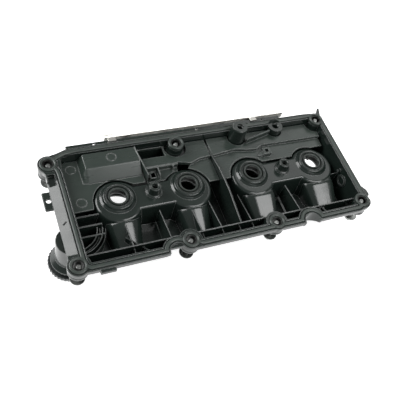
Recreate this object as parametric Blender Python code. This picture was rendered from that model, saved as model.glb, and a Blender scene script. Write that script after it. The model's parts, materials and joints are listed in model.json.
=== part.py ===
"""Plastic cylinder head cover of a four-cylinder diesel engine, lying with its inside up.

Every form is built in millimetres about the middle of the injector row, in the plane of the
gasket's sealing face, and is scaled to metres when it is finished.  +Z points out of the sealing
face, towards the cylinder head.  X runs along the row of injectors and +Y towards the hot side,
where the heat shield hangs.  The empty that carries every piece moves the origin to the middle
of the gasket's rear run, which is a point that can be touched.
"""

import math

import bmesh
import bpy
from mathutils import Matrix, Vector

MM = 0.001
GAP = 0.3
SOLVER = "MANIFOLD"

# Sides of small and of large round forms
ROUND = 12
FINE = 18

# Engine layout
CYLINDER_PITCH = 88.0
INJECTOR_X = [CYLINDER_PITCH * (i - 1.5) for i in range(4)]
CLAMP_X = {"left": -CYLINDER_PITCH, "right": CYLINDER_PITCH}

# Shell
WALL = 3.0
LAND_Z = -1.0
FLANGE_Z = -8.0
ROOF_Z = -48.0
FLOOR_Z = ROOF_Z + WALL
LEFT_X = -187.4
RIGHT_X = 166.7
FRONT_Y = -79.5
REAR_Y = 62.2
FLOOR_FRONT_Y = -60.5
FLANGE_LEFT_X = -207.0
FLANGE_RIGHT_X = 175.8
FLANGE_FRONT_Y = -89.6
FLANGE_REAR_Y = 71.5
LIP_Y = 77.0

# Perimeter gasket
GASKET_HALF = 2.7
GASKET_ROOM = 0.4
GASKET_DEPTH = 4.2
GASKET_FRONT_Y = -84.8
GASKET_REAR_Y = 66.8
GASKET_LEFT_X = -192.0
GASKET_RIGHT_X = 171.3
PAD_R = 10.4

# Half-round notches in the front edge
NOTCH_X = [-88.0, 87.0]
NOTCH_Y = -88.0
NOTCH_R = 9.8
NOTCH_GASKET_R = 14.5
POCKET_R = NOTCH_R + 2.6
POCKET_Z = -22.0

# Bolts: place and depth of the column that each one passes
BOLTS = {
    "left_rear": (-201.0, 53.5, 20.0),
    "left_front": (-198.5, -79.5, 14.0),
    "front_left": (-70.5, -78.0, 14.0),
    "front_right": (40.0, -79.0, 14.0),
    "right_front": (166.0, -75.5, 20.0),
    "right_rear": (165.0, 59.5, 20.0),
    "rear_middle": (-43.0, 55.5, 18.0),
}
WELL_BOLTS = ["right_front", "right_rear", "rear_middle"]
EMPTY_BOSS = (101.0, 59.0)
STUD_POST = (43.5, 56.5)
COLUMN_R = 11.3
BOLT_R = 3.0
BOLT_TRAVEL = 14.0
BOLT_TIP_Z = -3.0
SLEEVE_R = (5.3, 6.4)
GROMMET_R = 8.7
WELL_R = 11.5
ACCESS_Z = -44.0

# Injector wells
WELL_Z = -13.5
PLATE_R = 28.0
PLATE_Y = -4.0
NECK_FRONT_Y = -20.0
NECK_REAR_Y = 13.0
TAPER = 5.0
RAMP_Y = -34.0
RAMP_SLOPE = 0.443
RAMP_FOOT_Z = -75.0
SEAL_R = 14.9
INJECTOR_R = 9.2
SEAL_TOP_Z = -8.8
CASE_Z = -19.7
TUBE_Z = -22.0
CLAMP_HOLE_R = 3.5

# Oil filler, crankcase pressure regulator and breather
NECK = (-197.0, -43.0)
NECK_R = 17.0
NECK_BORE_R = 14.0
NECK_Z = -56.0
CAP_R = 25.0
CAP_Z = -70.0
REGULATOR = (-6.0, 42.5)
CUP_R = 19.0
CUP_Z = -65.0
SEAT_Z = -54.0
REGULATOR_TRAVEL = 3.0
PIPE_R = 6.8
PIPE_Z = -56.6

# Heat shield
SHIELD_X = (-128.0, 122.0)
SHIELD_Y = 79.0
SHIELD_SHEET = 1.0
SHIELD_LOW_Z = -40.0
SHIELD_SCREW_X = (-92.0, 84.0)
SHIELD_SCREW_Z = -30.0
SLOT_X = ((-125.0, -113.0), (69.0, 80.0))
SLOT_Y = (72.6, 75.6)

# Oil separator baffles
HIGH_Z = -10.5
LOW_Z = -13.8
SHELF_Z = -18.5
BAFFLE_SHEET = 2.2
EDGE_GAP = 1.0


def arc(centre, radius, start, end, count=8):
    """Points on a circle from one angle to another, in degrees."""
    x, y = centre
    points = []
    for i in range(count + 1):
        angle = math.radians(start + (end - start) * i / count)
        points.append((x + radius * math.cos(angle), y + radius * math.sin(angle)))
    return points


def box_outline(x0, x1, y0, y1, radius=0.0, count=3):
    """Rectangle with rounded corners, anticlockwise."""
    if radius == 0.0:
        return [(x0, y0), (x1, y0), (x1, y1), (x0, y1)]
    outline = arc((x0 + radius, y0 + radius), radius, 180, 270, count)
    outline += arc((x1 - radius, y0 + radius), radius, 270, 360, count)
    outline += arc((x1 - radius, y1 - radius), radius, 0, 90, count)
    outline += arc((x0 + radius, y1 - radius), radius, 90, 180, count)
    return outline


def make_object(name, bm, place=(0.0, 0.0, 0.0)):
    bmesh.ops.recalc_face_normals(bm, faces=bm.faces)
    mesh = bpy.data.meshes.new(name)
    bm.to_mesh(mesh)
    bm.free()
    obj = bpy.data.objects.new(name, mesh)
    obj.location = place
    bpy.context.scene.collection.objects.link(obj)
    return obj


def loft(name, sections):
    """Closed solid through loops of the same number of 3-D points."""
    bm = bmesh.new()
    rings = [[bm.verts.new(point) for point in section] for section in sections]
    for lower, upper in zip(rings, rings[1:]):
        for i in range(len(lower)):
            j = (i + 1) % len(lower)
            bm.faces.new((lower[i], lower[j], upper[j], upper[i]))
    bm.faces.new(rings[0])
    bm.faces.new(rings[-1])
    return make_object(name, bm)


def at_height(outline, z):
    return [(x, y, z) for x, y in outline]


def prism(name, outline, bottom, top):
    return loft(name, [at_height(outline, bottom), at_height(outline, top)])


def block(name, x, y, z):
    return prism(name, box_outline(x[0], x[1], y[0], y[1]), z[0], z[1])


def side_plate(name, profile, x0, x1):
    """Plate of even thickness along X from a profile of (y, z) points."""
    return loft(name, [[(x, y, z) for y, z in profile] for x in (x0, x1)])


def front_plate(name, profile, y0, y1):
    """Plate of even thickness along Y from a profile of (x, z) points."""
    return loft(name, [[(x, y, z) for x, z in profile] for y in (y0, y1)])


def lathe(name, profile, place=(0.0, 0.0, 0.0), segments=ROUND, ring=False):
    """Turned solid about Z from (radius, height) points; ring closes the profile on itself."""
    bm = bmesh.new()
    loops = []
    for radius, z in profile:
        if radius == 0.0:
            loops.append([bm.verts.new((0.0, 0.0, z))])
            continue
        turn = 2.0 * math.pi / segments
        points = [(radius * math.cos(i * turn), radius * math.sin(i * turn), z) for i in range(segments)]
        loops.append([bm.verts.new(point) for point in points])
    pairs = list(zip(loops, loops[1:]))
    if ring:
        pairs.append((loops[-1], loops[0]))
    for a, b in pairs:
        for i in range(segments):
            j = (i + 1) % segments
            corners = [a[i % len(a)], a[j % len(a)], b[j % len(b)], b[i % len(b)]]
            bm.faces.new(list(dict.fromkeys(corners)))
    return make_object(name, bm, place)


def disc(name, centre, radius, bottom, top, segments=ROUND):
    return lathe(name, [(0, bottom), (radius, bottom), (radius, top), (0, top)],
                 (centre[0], centre[1], 0.0), segments)


def cone(name, centre, lower, upper, segments=ROUND):
    """Round solid between two (radius, height) ends."""
    return lathe(name, [(0, lower[1]), lower, upper, (0, upper[1])],
                 (centre[0], centre[1], 0.0), segments)


def combine(target, tools, operation):
    """Boolean of one object with a list of others, which it uses up.

    The exact solver leaves open edges on a shell with this many cuts, so all of the closed
    forms here are joined with the manifold solver.
    """
    for tool in tools:
        modifier = target.modifiers.new("boolean", "BOOLEAN")
        modifier.object = tool
        modifier.operation = operation
        modifier.solver = SOLVER
        graph = bpy.context.evaluated_depsgraph_get()
        mesh = bpy.data.meshes.new_from_object(target.evaluated_get(graph))
        target.modifiers.clear()
        target.data = mesh
        bpy.data.objects.remove(tool)
    return target


def add(target, tools):
    return combine(target, tools, "UNION")


def cut(target, tools):
    return combine(target, tools, "DIFFERENCE")


def material(name, colour, roughness, metallic=0.0):
    finish = bpy.data.materials.new(name)
    finish.use_nodes = True
    shader = finish.node_tree.nodes["Principled BSDF"]
    shader.inputs["Base Color"].default_value = (*colour, 1.0)
    shader.inputs["Roughness"].default_value = roughness
    shader.inputs["Metallic"].default_value = metallic
    finish.diffuse_color = (*colour, 1.0)
    finish.roughness = roughness
    finish.metallic = metallic
    return finish


def finish_node(obj, name, look, parent):
    obj.name = name
    obj.data.name = name
    obj.data.materials.clear()
    obj.data.materials.append(look)
    obj.data.polygons.foreach_set("material_index", [0] * len(obj.data.polygons))
    obj.data.shade_smooth()
    obj.data.set_sharp_from_angle(angle=math.radians(32.0))
    obj.data.transform(Matrix.Scale(MM, 4))
    obj.location = obj.location * MM
    obj.parent = parent
    return obj


# ---------------------------------------------------------------- outlines

def flange_outline():
    """Outer edge of the flange: lobes round the corner bolts and two notches in the front."""
    left_rear = BOLTS["left_rear"][:2]
    left_front = BOLTS["left_front"][:2]
    front_left = BOLTS["front_left"][:2]
    front_right = BOLTS["front_right"][:2]
    right_front = BOLTS["right_front"][:2]
    right_rear = BOLTS["right_rear"][:2]
    outline = arc(left_front, 12.2, 140, 305, 7)
    outline += [(left_front[0] + 12.0, FLANGE_FRONT_Y), (NOTCH_X[0] - 15.0, FLANGE_FRONT_Y)]
    outline += arc((NOTCH_X[0], NOTCH_Y), NOTCH_R, 186, 54, 6)
    outline += arc(front_left, 11.6, 190, 275, 4)
    outline += [(front_left[0] + 8.0, FLANGE_FRONT_Y)]
    outline += arc(front_right, 11.6, 245, 295, 3)
    outline += [(NOTCH_X[1] - 14.0, FLANGE_FRONT_Y)]
    outline += arc((NOTCH_X[1], NOTCH_Y), NOTCH_R, 186, -6, 8)
    outline += [(NOTCH_X[1] + 13.0, FLANGE_FRONT_Y), (155.0, FLANGE_FRONT_Y)]
    outline += arc(right_front, 12.0, 285, 352, 3)
    outline += [(FLANGE_RIGHT_X, right_front[1] + 9.0)]
    outline += arc(right_rear, FLANGE_RIGHT_X - right_rear[0], 0, 80, 3)
    outline += [(150.0, FLANGE_REAR_Y), (-176.0, FLANGE_REAR_Y), (-189.0, 67.0)]
    outline += arc(left_rear, 12.0, 75, 218, 6)
    outline += [(FLANGE_LEFT_X, 40.0), (FLANGE_LEFT_X, -64.0)]
    return outline


def gasket_path():
    """Centre line of the gasket bead, anticlockwise, round both notches."""
    path = [(GASKET_LEFT_X, -76.0), (GASKET_LEFT_X + 6.0, GASKET_FRONT_Y)]
    reach = math.degrees(math.asin((GASKET_FRONT_Y - NOTCH_Y) / NOTCH_GASKET_R))
    path += arc((NOTCH_X[0], NOTCH_Y), NOTCH_GASKET_R, 180 - reach, 52, 6)
    path += [(-68.0, -79.5), (-58.0, GASKET_FRONT_Y)]
    path += arc((NOTCH_X[1], NOTCH_Y), NOTCH_GASKET_R, 180 - reach, reach, 8)
    path += [(157.0, GASKET_FRONT_Y), (166.5, -80.5), (GASKET_RIGHT_X, -70.0)]
    path += [(GASKET_RIGHT_X, 58.0), (165.0, GASKET_REAR_Y)]
    path += [(-166.0, GASKET_REAR_Y), (-189.0, 61.5), (-199.0, 55.0), (-192.6, 43.0), (GASKET_LEFT_X, 36.0)]
    return path


def offset_loop(path, distance):
    """Closed loop moved sideways by a distance, outwards when it is positive."""
    points = [Vector(point) for point in path]
    moved = []
    for i, point in enumerate(points):
        before = (point - points[i - 1]).normalized()
        after = (points[(i + 1) % len(points)] - point).normalized()
        out_before = Vector((before.y, -before.x))
        out_after = Vector((after.y, -after.x))
        mitre = (out_before + out_after).normalized()
        moved.append(tuple(point + mitre * (distance / mitre.dot(out_after))))
    return moved


def band(name, half_width, bottom, top):
    """Closed band along the gasket path."""
    outer = offset_loop(gasket_path(), half_width)
    inner = offset_loop(gasket_path(), -half_width)
    bm = bmesh.new()
    corners = [(inner, bottom), (outer, bottom), (outer, top), (inner, top)]
    rings = [[bm.verts.new(point) for point in at_height(loop, z)] for loop, z in corners]
    for a, b in zip(rings, rings[1:] + rings[:1]):
        for i in range(len(a)):
            j = (i + 1) % len(a)
            bm.faces.new((a[i], a[j], b[j], b[i]))
    return make_object(name, bm)


def well_pair_outline(left, right, grow=0.0):
    """Plan of two round injector plates joined by a straight neck."""
    radius = PLATE_R + grow
    rear = math.degrees(math.asin((NECK_REAR_Y + grow - PLATE_Y) / radius))
    front = math.degrees(math.asin((PLATE_Y - NECK_FRONT_Y + grow) / radius))
    outline = arc((left, PLATE_Y), radius, rear, 360 - front, 12)
    outline += arc((right, PLATE_Y), radius, 180 + front, 540 - rear, 12)
    return outline


def curved_wall(name, centre, radius, angles, heights, thickness=1.6):
    """Upright wall that follows an arc in plan."""
    outer = arc(centre, radius + thickness / 2.0, angles[0], angles[1])
    inner = arc(centre, radius - thickness / 2.0, angles[1], angles[0])
    return prism(name, outer + inner, heights[0], heights[1])


def pad_centres():
    centres = [place[:2] for place in BOLTS.values()]
    return centres + [EMPTY_BOSS]


# ---------------------------------------------------------------- cover shell

def notch_pocket():
    """Half-round wall of the right notch; its foot slants back under the flange."""
    pocket = disc("notch_pocket", (NOTCH_X[1], NOTCH_Y), POCKET_R, POCKET_Z - 2.0, -3.0, FINE)
    slant = [(FLANGE_FRONT_Y, -2.0), (FLANGE_FRONT_Y, FLANGE_Z - 0.5), (-75.5, POCKET_Z), (-70.0, POCKET_Z),
             (-70.0, -2.0)]
    foot = side_plate("slant", slant, NOTCH_X[1] - 15.0, NOTCH_X[1] + 15.0)
    return combine(pocket, [foot], "INTERSECT")


def shell_body():
    """Everything of the shell before its hollows are cut."""
    body = prism("cover_shell", flange_outline(), FLANGE_Z, LAND_Z)
    top = box_outline(LEFT_X - WALL, RIGHT_X + WALL, FRONT_Y - WALL, REAR_Y + WALL, 6.0)
    bottom = box_outline(LEFT_X - 1.0, RIGHT_X + 1.0, FLOOR_FRONT_Y - 2.0, REAR_Y + 1.0, 6.0)
    parts = [loft("tub", [at_height(bottom, ROOF_Z), at_height(top, FLANGE_Z), at_height(top, -4.0)])]
    parts.append(block("lip", (-176.0, 114.0), (FLANGE_REAR_Y - 2.0, LIP_Y), (-6.0, -3.2)))
    for name, (x, y, depth) in BOLTS.items():
        if name != "rear_middle":
            parts.append(cone("column", (x, y), (COLUMN_R - 0.8, -depth), (COLUMN_R, -3.0)))
    parts.append(notch_pocket())
    parts.append(disc("neck", NECK, NECK_R, NECK_Z, -12.0, FINE))
    flare = [(0, NECK_Z + 1.0), (22.0, NECK_Z + 1.0), (22.0, NECK_Z + 4.0), (NECK_R - 1.0, NECK_Z + 10.0),
             (0, NECK_Z + 10.0)]
    parts.append(lathe("flare", flare, (NECK[0], NECK[1], 0.0), FINE))
    parts.append(disc("regulator_cup", REGULATOR, CUP_R, CUP_Z, ROOF_Z + 1.0, FINE))
    parts.append(block("clip_tab", (-216.0, -205.0), (-4.0, 20.0), (-9.5, -6.5)))
    parts.append(block("edge_tab", (-178.0, -160.5), (-93.5, -88.0), (-6.5, LAND_Z - 0.4)))
    lug = [(168.0, 66.0), (175.0, 64.0), (179.5, 77.5), (177.0, 78.0)]
    parts.append(prism("corner_lug", lug, -5.0, LAND_Z - 0.4))
    side_lug = [(172.0, -72.0), (182.5, -69.0), (182.5, -62.0), (177.0, -53.0), (172.0, -53.0)]
    parts.append(prism("side_lug", side_lug, -8.5, -3.4))
    for x in SHIELD_SCREW_X:
        boss = disc("shield_boss", (0.0, 0.0), 4.8, 0.0, 15.0, 12)
        boss.location = (x, SHIELD_Y - GAP, SHIELD_SCREW_Z)
        boss.rotation_euler = (math.pi / 2.0, 0.0, 0.0)
        parts.append(boss)
    return add(body, parts)


def pedestals():
    """Raised forms that stand up inside the tub: wells, ramps, bolt wells and the stud post."""
    solids = []
    for left, right in (INJECTOR_X[:2], INJECTOR_X[2:]):
        lower = at_height(well_pair_outline(left, right, TAPER), FLOOR_Z - 6.0)
        upper = at_height(well_pair_outline(left, right), WELL_Z)
        solids.append(loft("pedestal", [lower, upper]))
    for x in INJECTOR_X:
        solids.append(ramp("ramp", x, 0.0, -76.0))
    solids.append(side_bay("bay", 16.0, FLOOR_Z - 6.0))
    for name in WELL_BOLTS:
        x, y, depth = BOLTS[name]
        solids.append(disc("bolt_well", (x, y), WELL_R + 2.5, FLOOR_Z - 6.0, -depth + 3.0))
        solids.append(disc("bolt_boss", (x, y), 9.4, FLOOR_Z - 6.0, 3.0))
    solids.append(cone("empty_boss", EMPTY_BOSS, (11.0, FLOOR_Z - 6.0), (9.7, 3.0)))
    for x in NOTCH_X:
        solids.append(disc("notch_wall", (x, NOTCH_Y), 19.0, -16.0, 3.0, FINE))
    for name in ("front_left", "front_right", "left_front"):
        solids.append(disc("front_boss", BOLTS[name][:2], WELL_R + 2.3, ACCESS_Z - 4.0, 3.0))
    solids.append(disc("corner_boss", BOLTS["left_rear"][:2], 15.0, FLOOR_Z - 6.0, 3.0))
    return solids


def ramp(name, x, inset, front):
    """Hump from an injector plate down to the front wall; inset makes its hollow.

    The two humps on the right have a flat shoulder on their right side.
    """
    sections = []
    steps = 6
    run = RAMP_Y - front
    shoulder = 0.45 if x > 0.0 else 1.0
    for y, half, crest in ((RAMP_Y + 16.0, 21.0, WELL_Z - 0.6), (RAMP_Y, 20.0, WELL_Z - 1.4),
                           (front, 20.0 - 0.12 * run, WELL_Z - 1.4 - RAMP_SLOPE * run)):
        spring = crest - 9.0
        section = [(x - half + inset, y, RAMP_FOOT_Z), (x + half - inset, y, RAMP_FOOT_Z)]
        for i in range(steps + 1):
            angle = math.pi * i / steps
            power = shoulder if 2 * i < steps else 1.0
            across = math.copysign(abs(math.cos(angle)) ** power, math.cos(angle))
            rise = abs(math.sin(angle)) ** power
            section.append((x + (half - inset) * across, y, spring - inset + (crest - spring) * rise))
        sections.append(section)
    return loft(name, sections)


def side_bay(name, radius, low):
    """Slanting round bay that opens the last well towards the right rear of the roof."""
    top = arc((INJECTOR_X[3] + 2.0, 1.0), radius, 0, 345, 15)
    foot = arc((INJECTOR_X[3] + 17.0, 16.0), radius, 0, 345, 15)
    return loft(name, [at_height(foot, low), at_height(foot, ROOF_Z), at_height(top, WELL_Z - WALL)])


def tub_hollow():
    """The inside of the tub, less every form that stands up in it."""
    upper = box_outline(LEFT_X, RIGHT_X, FRONT_Y, REAR_Y, 5.0)
    lower = box_outline(LEFT_X + 2.0, RIGHT_X - 2.0, FLOOR_FRONT_Y, REAR_Y - 2.0, 5.0)
    hollow = loft("tub_hollow", [at_height(lower, FLOOR_Z), at_height(upper, FLANGE_Z), at_height(upper, 2.0)])
    return cut(hollow, pedestals())


def troughs():
    """Open hollows under the wells, reached from outside, for injectors and their pipes."""
    solids = []
    inset = -WALL
    for left, right in (INJECTOR_X[:2], INJECTOR_X[2:]):
        lower = at_height(well_pair_outline(left, right, TAPER + inset), FLOOR_Z)
        upper = at_height(well_pair_outline(left, right, inset), WELL_Z - WALL)
        solids.append(loft("trough", [lower, upper]))
    for x in INJECTOR_X:
        solids.append(ramp("trough_ramp", x, WALL, -100.0))
    solids.append(side_bay("trough_bay", 13.0, ROOF_Z - 2.0))
    for x in (INJECTOR_X[0], INJECTOR_X[3]):
        solids.append(disc("roof_opening", (x + 2.5, -1.0), 25.0, ROOF_Z - 2.0, FLOOR_Z + 2.0))
    for x in (INJECTOR_X[1], INJECTOR_X[2]):
        solids.append(block("roof_opening", (x - 16.0, x + 16.0), (-30.0, 10.0), (ROOF_Z - 2.0, FLOOR_Z + 2.0)))
    return solids


def bores():
    """Round holes and pockets for bolts, sleeves, grommets, filler, regulator and breather."""
    solids = []
    for name, (x, y, depth) in BOLTS.items():
        stepped = [(0, -depth - 2.0), (GROMMET_R + GAP, -depth - 2.0), (GROMMET_R + GAP, -depth + 4.0),
                   (SLEEVE_R[1] + GAP, -depth + 4.0), (SLEEVE_R[1] + GAP, 2.0), (0, 2.0)]
        solids.append(lathe("bolt_bore", stepped, (x, y, 0.0)))
        foot = ROOF_Z - 2.0 if name in WELL_BOLTS else ACCESS_Z
        solids.append(disc("bolt_access", (x, y), WELL_R, foot, -depth))
    empty = [(0, -30.0), (4.2, -30.0), (4.2, -3.0), (5.4, -3.0), (5.4, 3.0), (0, 3.0)]
    solids.append(lathe("empty_bore", empty, (EMPTY_BOSS[0], EMPTY_BOSS[1], 0.0)))
    solids.append(disc("filler_bore", NECK, NECK_BORE_R, NECK_Z - 2.0, -24.0, FINE))
    solids.append(disc("regulator_bore", REGULATOR, CUP_R - WALL, CUP_Z - 2.0, ROOF_Z - 0.5, FINE))
    outlet = disc("outlet_port", (0.0, 0.0), PIPE_R + GAP, 0.0, 30.0)
    outlet.location = (REGULATOR[0], REGULATOR[1], PIPE_Z)
    outlet.rotation_euler = (0.0, math.pi / 2.0, 0.0)
    solids.append(outlet)
    for x in SHIELD_SCREW_X:
        bore = disc("screw_bore", (0.0, 0.0), 2.3, 0.0, 14.0, 12)
        bore.location = (x, SHIELD_Y + 1.0, SHIELD_SCREW_Z)
        bore.rotation_euler = (math.pi / 2.0, 0.0, 0.0)
        solids.append(bore)
    for x in (-142.0, -8.0, 87.0):
        solids.append(disc("lip_hole", (x, 74.0), 1.8, -8.0, 0.0, 12))
    for span in SLOT_X:
        solids.append(block("lip_slot", span, SLOT_Y, (-8.0, 0.0)))
    solids.append(disc("notch_bore", (NOTCH_X[1], NOTCH_Y), NOTCH_R + GAP, -30.0, 2.0, FINE))
    notch_span = (NOTCH_X[1] - 20.0, NOTCH_X[1] + 20.0)
    solids.append(block("notch_front", notch_span, (-105.0, FLANGE_FRONT_Y - 0.1), (-30.0, 2.0)))
    solids.append(disc("clip_hole", (-210.0, 8.0), 3.0, -12.0, -4.0, 16))
    solids.append(block("ledge_pocket", (-205.2, -197.2), (24.0, 39.0), (-6.0, 2.0)))
    slope = [(-209.5, -6.0), (-195.8, -1.2), (-195.8, 2.0), (-209.5, 2.0)]
    solids.append(front_plate("sloped_ledge", slope, -66.0, 30.0))
    return solids


def groove():
    """Groove for the gasket and its eyelets, cut into the flange's land."""
    solids = [band("groove", GASKET_HALF + GASKET_ROOM, -GASKET_DEPTH - GAP, 2.0)]
    for centre in pad_centres():
        if centre != EMPTY_BOSS:
            solids.append(disc("groove_pad", centre, PAD_R + GASKET_ROOM, -GASKET_DEPTH - GAP, 2.5, 16))
    return solids


def inner_ribs():
    """Webs, ribs and seats that are joined to the hollow shell."""
    ribs = []
    divider = [(REAR_Y + 1.0, -14.5), (10.0, -3.0), (-22.0, -2.5), (-68.0, -9.0), (-68.0, -33.5),
               (-62.2, -46.0), (REAR_Y - 1.0, -46.0)]
    ribs.append(side_plate("divider", divider, -1.1, 1.1))
    front_rib = [(LEFT_X - 1.0, -6.5), (RIGHT_X + 1.0, -6.5), (RIGHT_X + 1.0, -33.5), (LEFT_X - 1.0, -33.5)]
    ribs.append(front_plate("front_rib", front_rib, -68.8, -67.4))
    for x in (-133.0, -88.0, -50.0, -25.0, 14.5, 83.0):
        profile = [(-24.0, -17.0), (-68.1, -10.0), (-68.1, -33.6), (-63.5, -42.0), (-24.0, -42.0)]
        ribs.append(side_plate("cross_rib", profile, x - 0.7, x + 0.7))
    for x in (-133.0, -50.0, -25.0, -3.0, 14.5, 116.0):
        profile = [(-68.0, -12.0), (-79.0, -12.0), (-75.0, -20.0), (-68.0, -31.0)]
        ribs.append(side_plate("edge_rib", profile, x - 0.7, x + 0.7))
    for y in (-14.0, -27.0, -40.0):
        profile = [(LEFT_X - 1.0, -17.0), (-158.0, -17.0), (-158.0, -46.0), (LEFT_X - 1.0, -46.0)]
        ribs.append(front_plate("left_rib", profile, y - 0.8, y + 0.8))
    for radius in (28.0, 34.0):
        ribs.append(curved_wall("curved_rib", (-192.0, -26.0), radius, (-84.0, -8.0), (-46.0, -18.0)))
    port = lathe("port_ring", [(5.6, 0.0), (8.2, 0.0), (7.6, 3.2), (5.9, 3.2)], (0, 0, 0), ring=True)
    port.location = (RIGHT_X + 0.6, -33.0, -19.0)
    port.rotation_euler = (0.0, -math.pi / 2.0, 0.0)
    ribs.append(port)
    for x in CLAMP_X.values():
        seat = [(0, -20.0), (10.0, -20.0), (10.0, -12.0), (8.0, -10.6), (7.0, -1.8), (0, -1.8)]
        ribs.append(lathe("clamp_seat", seat, (x, 0.0, 0.0)))
    for x in INJECTOR_X:
        collar = [(0, TUBE_Z), (SEAL_R + GAP + 2.6, TUBE_Z), (20.6, WELL_Z - 1.0), (17.2, SEAL_TOP_Z - 0.5),
                  (0, SEAL_TOP_Z - 0.5)]
        ribs.append(lathe("seal_collar", collar, (x, 0.0, 0.0), FINE))
    post = [(0, -46.0), (12.5, -46.0), (11.6, -12.0), (10.0, 10.5), (9.3, 12.0), (0, 12.0)]
    ribs.append(lathe("stud_post", post, (STUD_POST[0], STUD_POST[1], 0.0)))
    ribs.append(disc("seat_tube", REGULATOR, 7.5, SEAT_Z, FLOOR_Z - 1.0))
    return ribs


def final_holes():
    """Holes that pass through the ribs and seats as well."""
    holes = []
    for x in INJECTOR_X:
        stepped = [(0, TUBE_Z - 2.0), (INJECTOR_R + 2.6, TUBE_Z - 2.0), (INJECTOR_R + 2.6, CASE_Z - GAP),
                   (SEAL_R + GAP, CASE_Z - GAP), (SEAL_R + GAP, 2.0), (0, 2.0)]
        holes.append(lathe("injector_bore", stepped, (x, 0.0, 0.0), FINE))
    for x in CLAMP_X.values():
        stepped = [(0, -24.0), (CLAMP_HOLE_R, -24.0), (CLAMP_HOLE_R, -6.0), (5.6, -6.0), (5.6, 2.0), (0, 2.0)]
        holes.append(lathe("clamp_bore", stepped, (x, 0.0, 0.0)))
    holes.append(disc("stud_bore", STUD_POST, 4.0, -2.0, 14.0))
    holes.append(disc("outlet_bore", REGULATOR, 5.6, SEAT_Z - 2.0, -40.0))
    return holes


def cover_shell():
    shell = shell_body()
    cut(shell, [tub_hollow()])
    cut(shell, troughs())
    add(shell, inner_ribs())
    cut(shell, groove() + bores() + final_holes())
    tidy_mesh(shell)
    return shell


def tidy_mesh(obj):
    """Drop the shortest edges that the booleans leave behind."""
    bm = bmesh.new()
    bm.from_mesh(obj.data)
    bmesh.ops.dissolve_degenerate(bm, dist=0.01, edges=bm.edges)
    bm.to_mesh(obj.data)
    bm.free()


# ---------------------------------------------------------------- gasket and baffles

def perimeter_gasket():
    """Rubber bead with an eyelet round each bolt, seated in the flange's groove."""
    gasket = band("gasket", GASKET_HALF, -GASKET_DEPTH, 0.0)
    pads = [disc("pad", centre, PAD_R, 0.1 - GASKET_DEPTH, 0.3, 16) for centre in pad_centres()
            if centre != EMPTY_BOSS]
    add(gasket, pads)
    holes = [disc("pad_hole", centre, SLEEVE_R[1] + GAP, -6.0, 2.0) for centre in pad_centres()
             if centre != EMPTY_BOSS]
    holes.append(disc("boss_gap", EMPTY_BOSS, 9.9, -6.0, 2.0))
    return cut(gasket, holes)


def plate_cutouts():
    """Clearances that the baffles leave round the bolt wells, the boss and the post."""
    cutouts = []
    for name in WELL_BOLTS:
        cutouts.append(disc("well_gap", BOLTS[name][:2], WELL_R + 2.5 + GAP, -30.0, 5.0))
    cutouts.append(disc("boss_gap", EMPTY_BOSS, 11.3, -30.0, 5.0))
    cutouts.append(disc("post_gap", STUD_POST, 12.8, -30.0, 5.0))
    cutouts.append(disc("corner_gap", BOLTS["left_rear"][:2], 15.3, -30.0, 5.0))
    return cutouts


def separator_plate_left():
    """Baffle over the left chamber: a low sheet and a raised box that is open below."""
    edge = REAR_Y - EDGE_GAP
    outline = [(LEFT_X + EDGE_GAP, -9.0), (-162.5, -9.0)]
    outline += arc((INJECTOR_X[0], PLATE_Y), PLATE_R + 1.5, 178, 60, 8)
    outline += [(-108.0, 15.4), (-93.2, 15.4), (-93.2, edge)]
    outline += [(LEFT_X + 6.0, edge), (LEFT_X + EDGE_GAP, edge - 5.0)]
    plate = prism("plate", outline, LOW_Z - BAFFLE_SHEET, LOW_Z)
    profile = [(edge, LOW_Z - 1.0), (edge, -2.6), (40.0, -2.6), (25.5, LOW_Z + 1.0), (25.5, LOW_Z - 1.0)]
    low = [(edge, LOW_Z - 1.0), (edge, LOW_Z + 0.4), (36.0, LOW_Z + 0.4), (27.0, LOW_Z + 0.2), (27.0, LOW_Z - 1.0)]
    spans = ((-165.5, low), (-159.5, profile), (-94.0, profile))
    add(plate, [loft("box", [[(x, y, z) for y, z in section] for x, section in spans])])
    inside = [(edge - 2.0, LOW_Z - 4.0), (edge - 2.0, -4.8), (39.2, -4.8), (28.0, LOW_Z - 1.5),
              (28.0, LOW_Z - 4.0)]
    return cut(plate, [side_plate("hollow", inside, -157.5, -96.0)] + plate_cutouts())


def stepped_plate(high, low):
    """Baffle of a high rear sheet and a low front sheet that meet in a step."""
    plate = prism("plate", high, LOW_Z - 0.8, HIGH_Z)
    add(plate, [prism("low", low, LOW_Z - BAFFLE_SHEET, LOW_Z)])
    return cut(plate, plate_cutouts())


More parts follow.
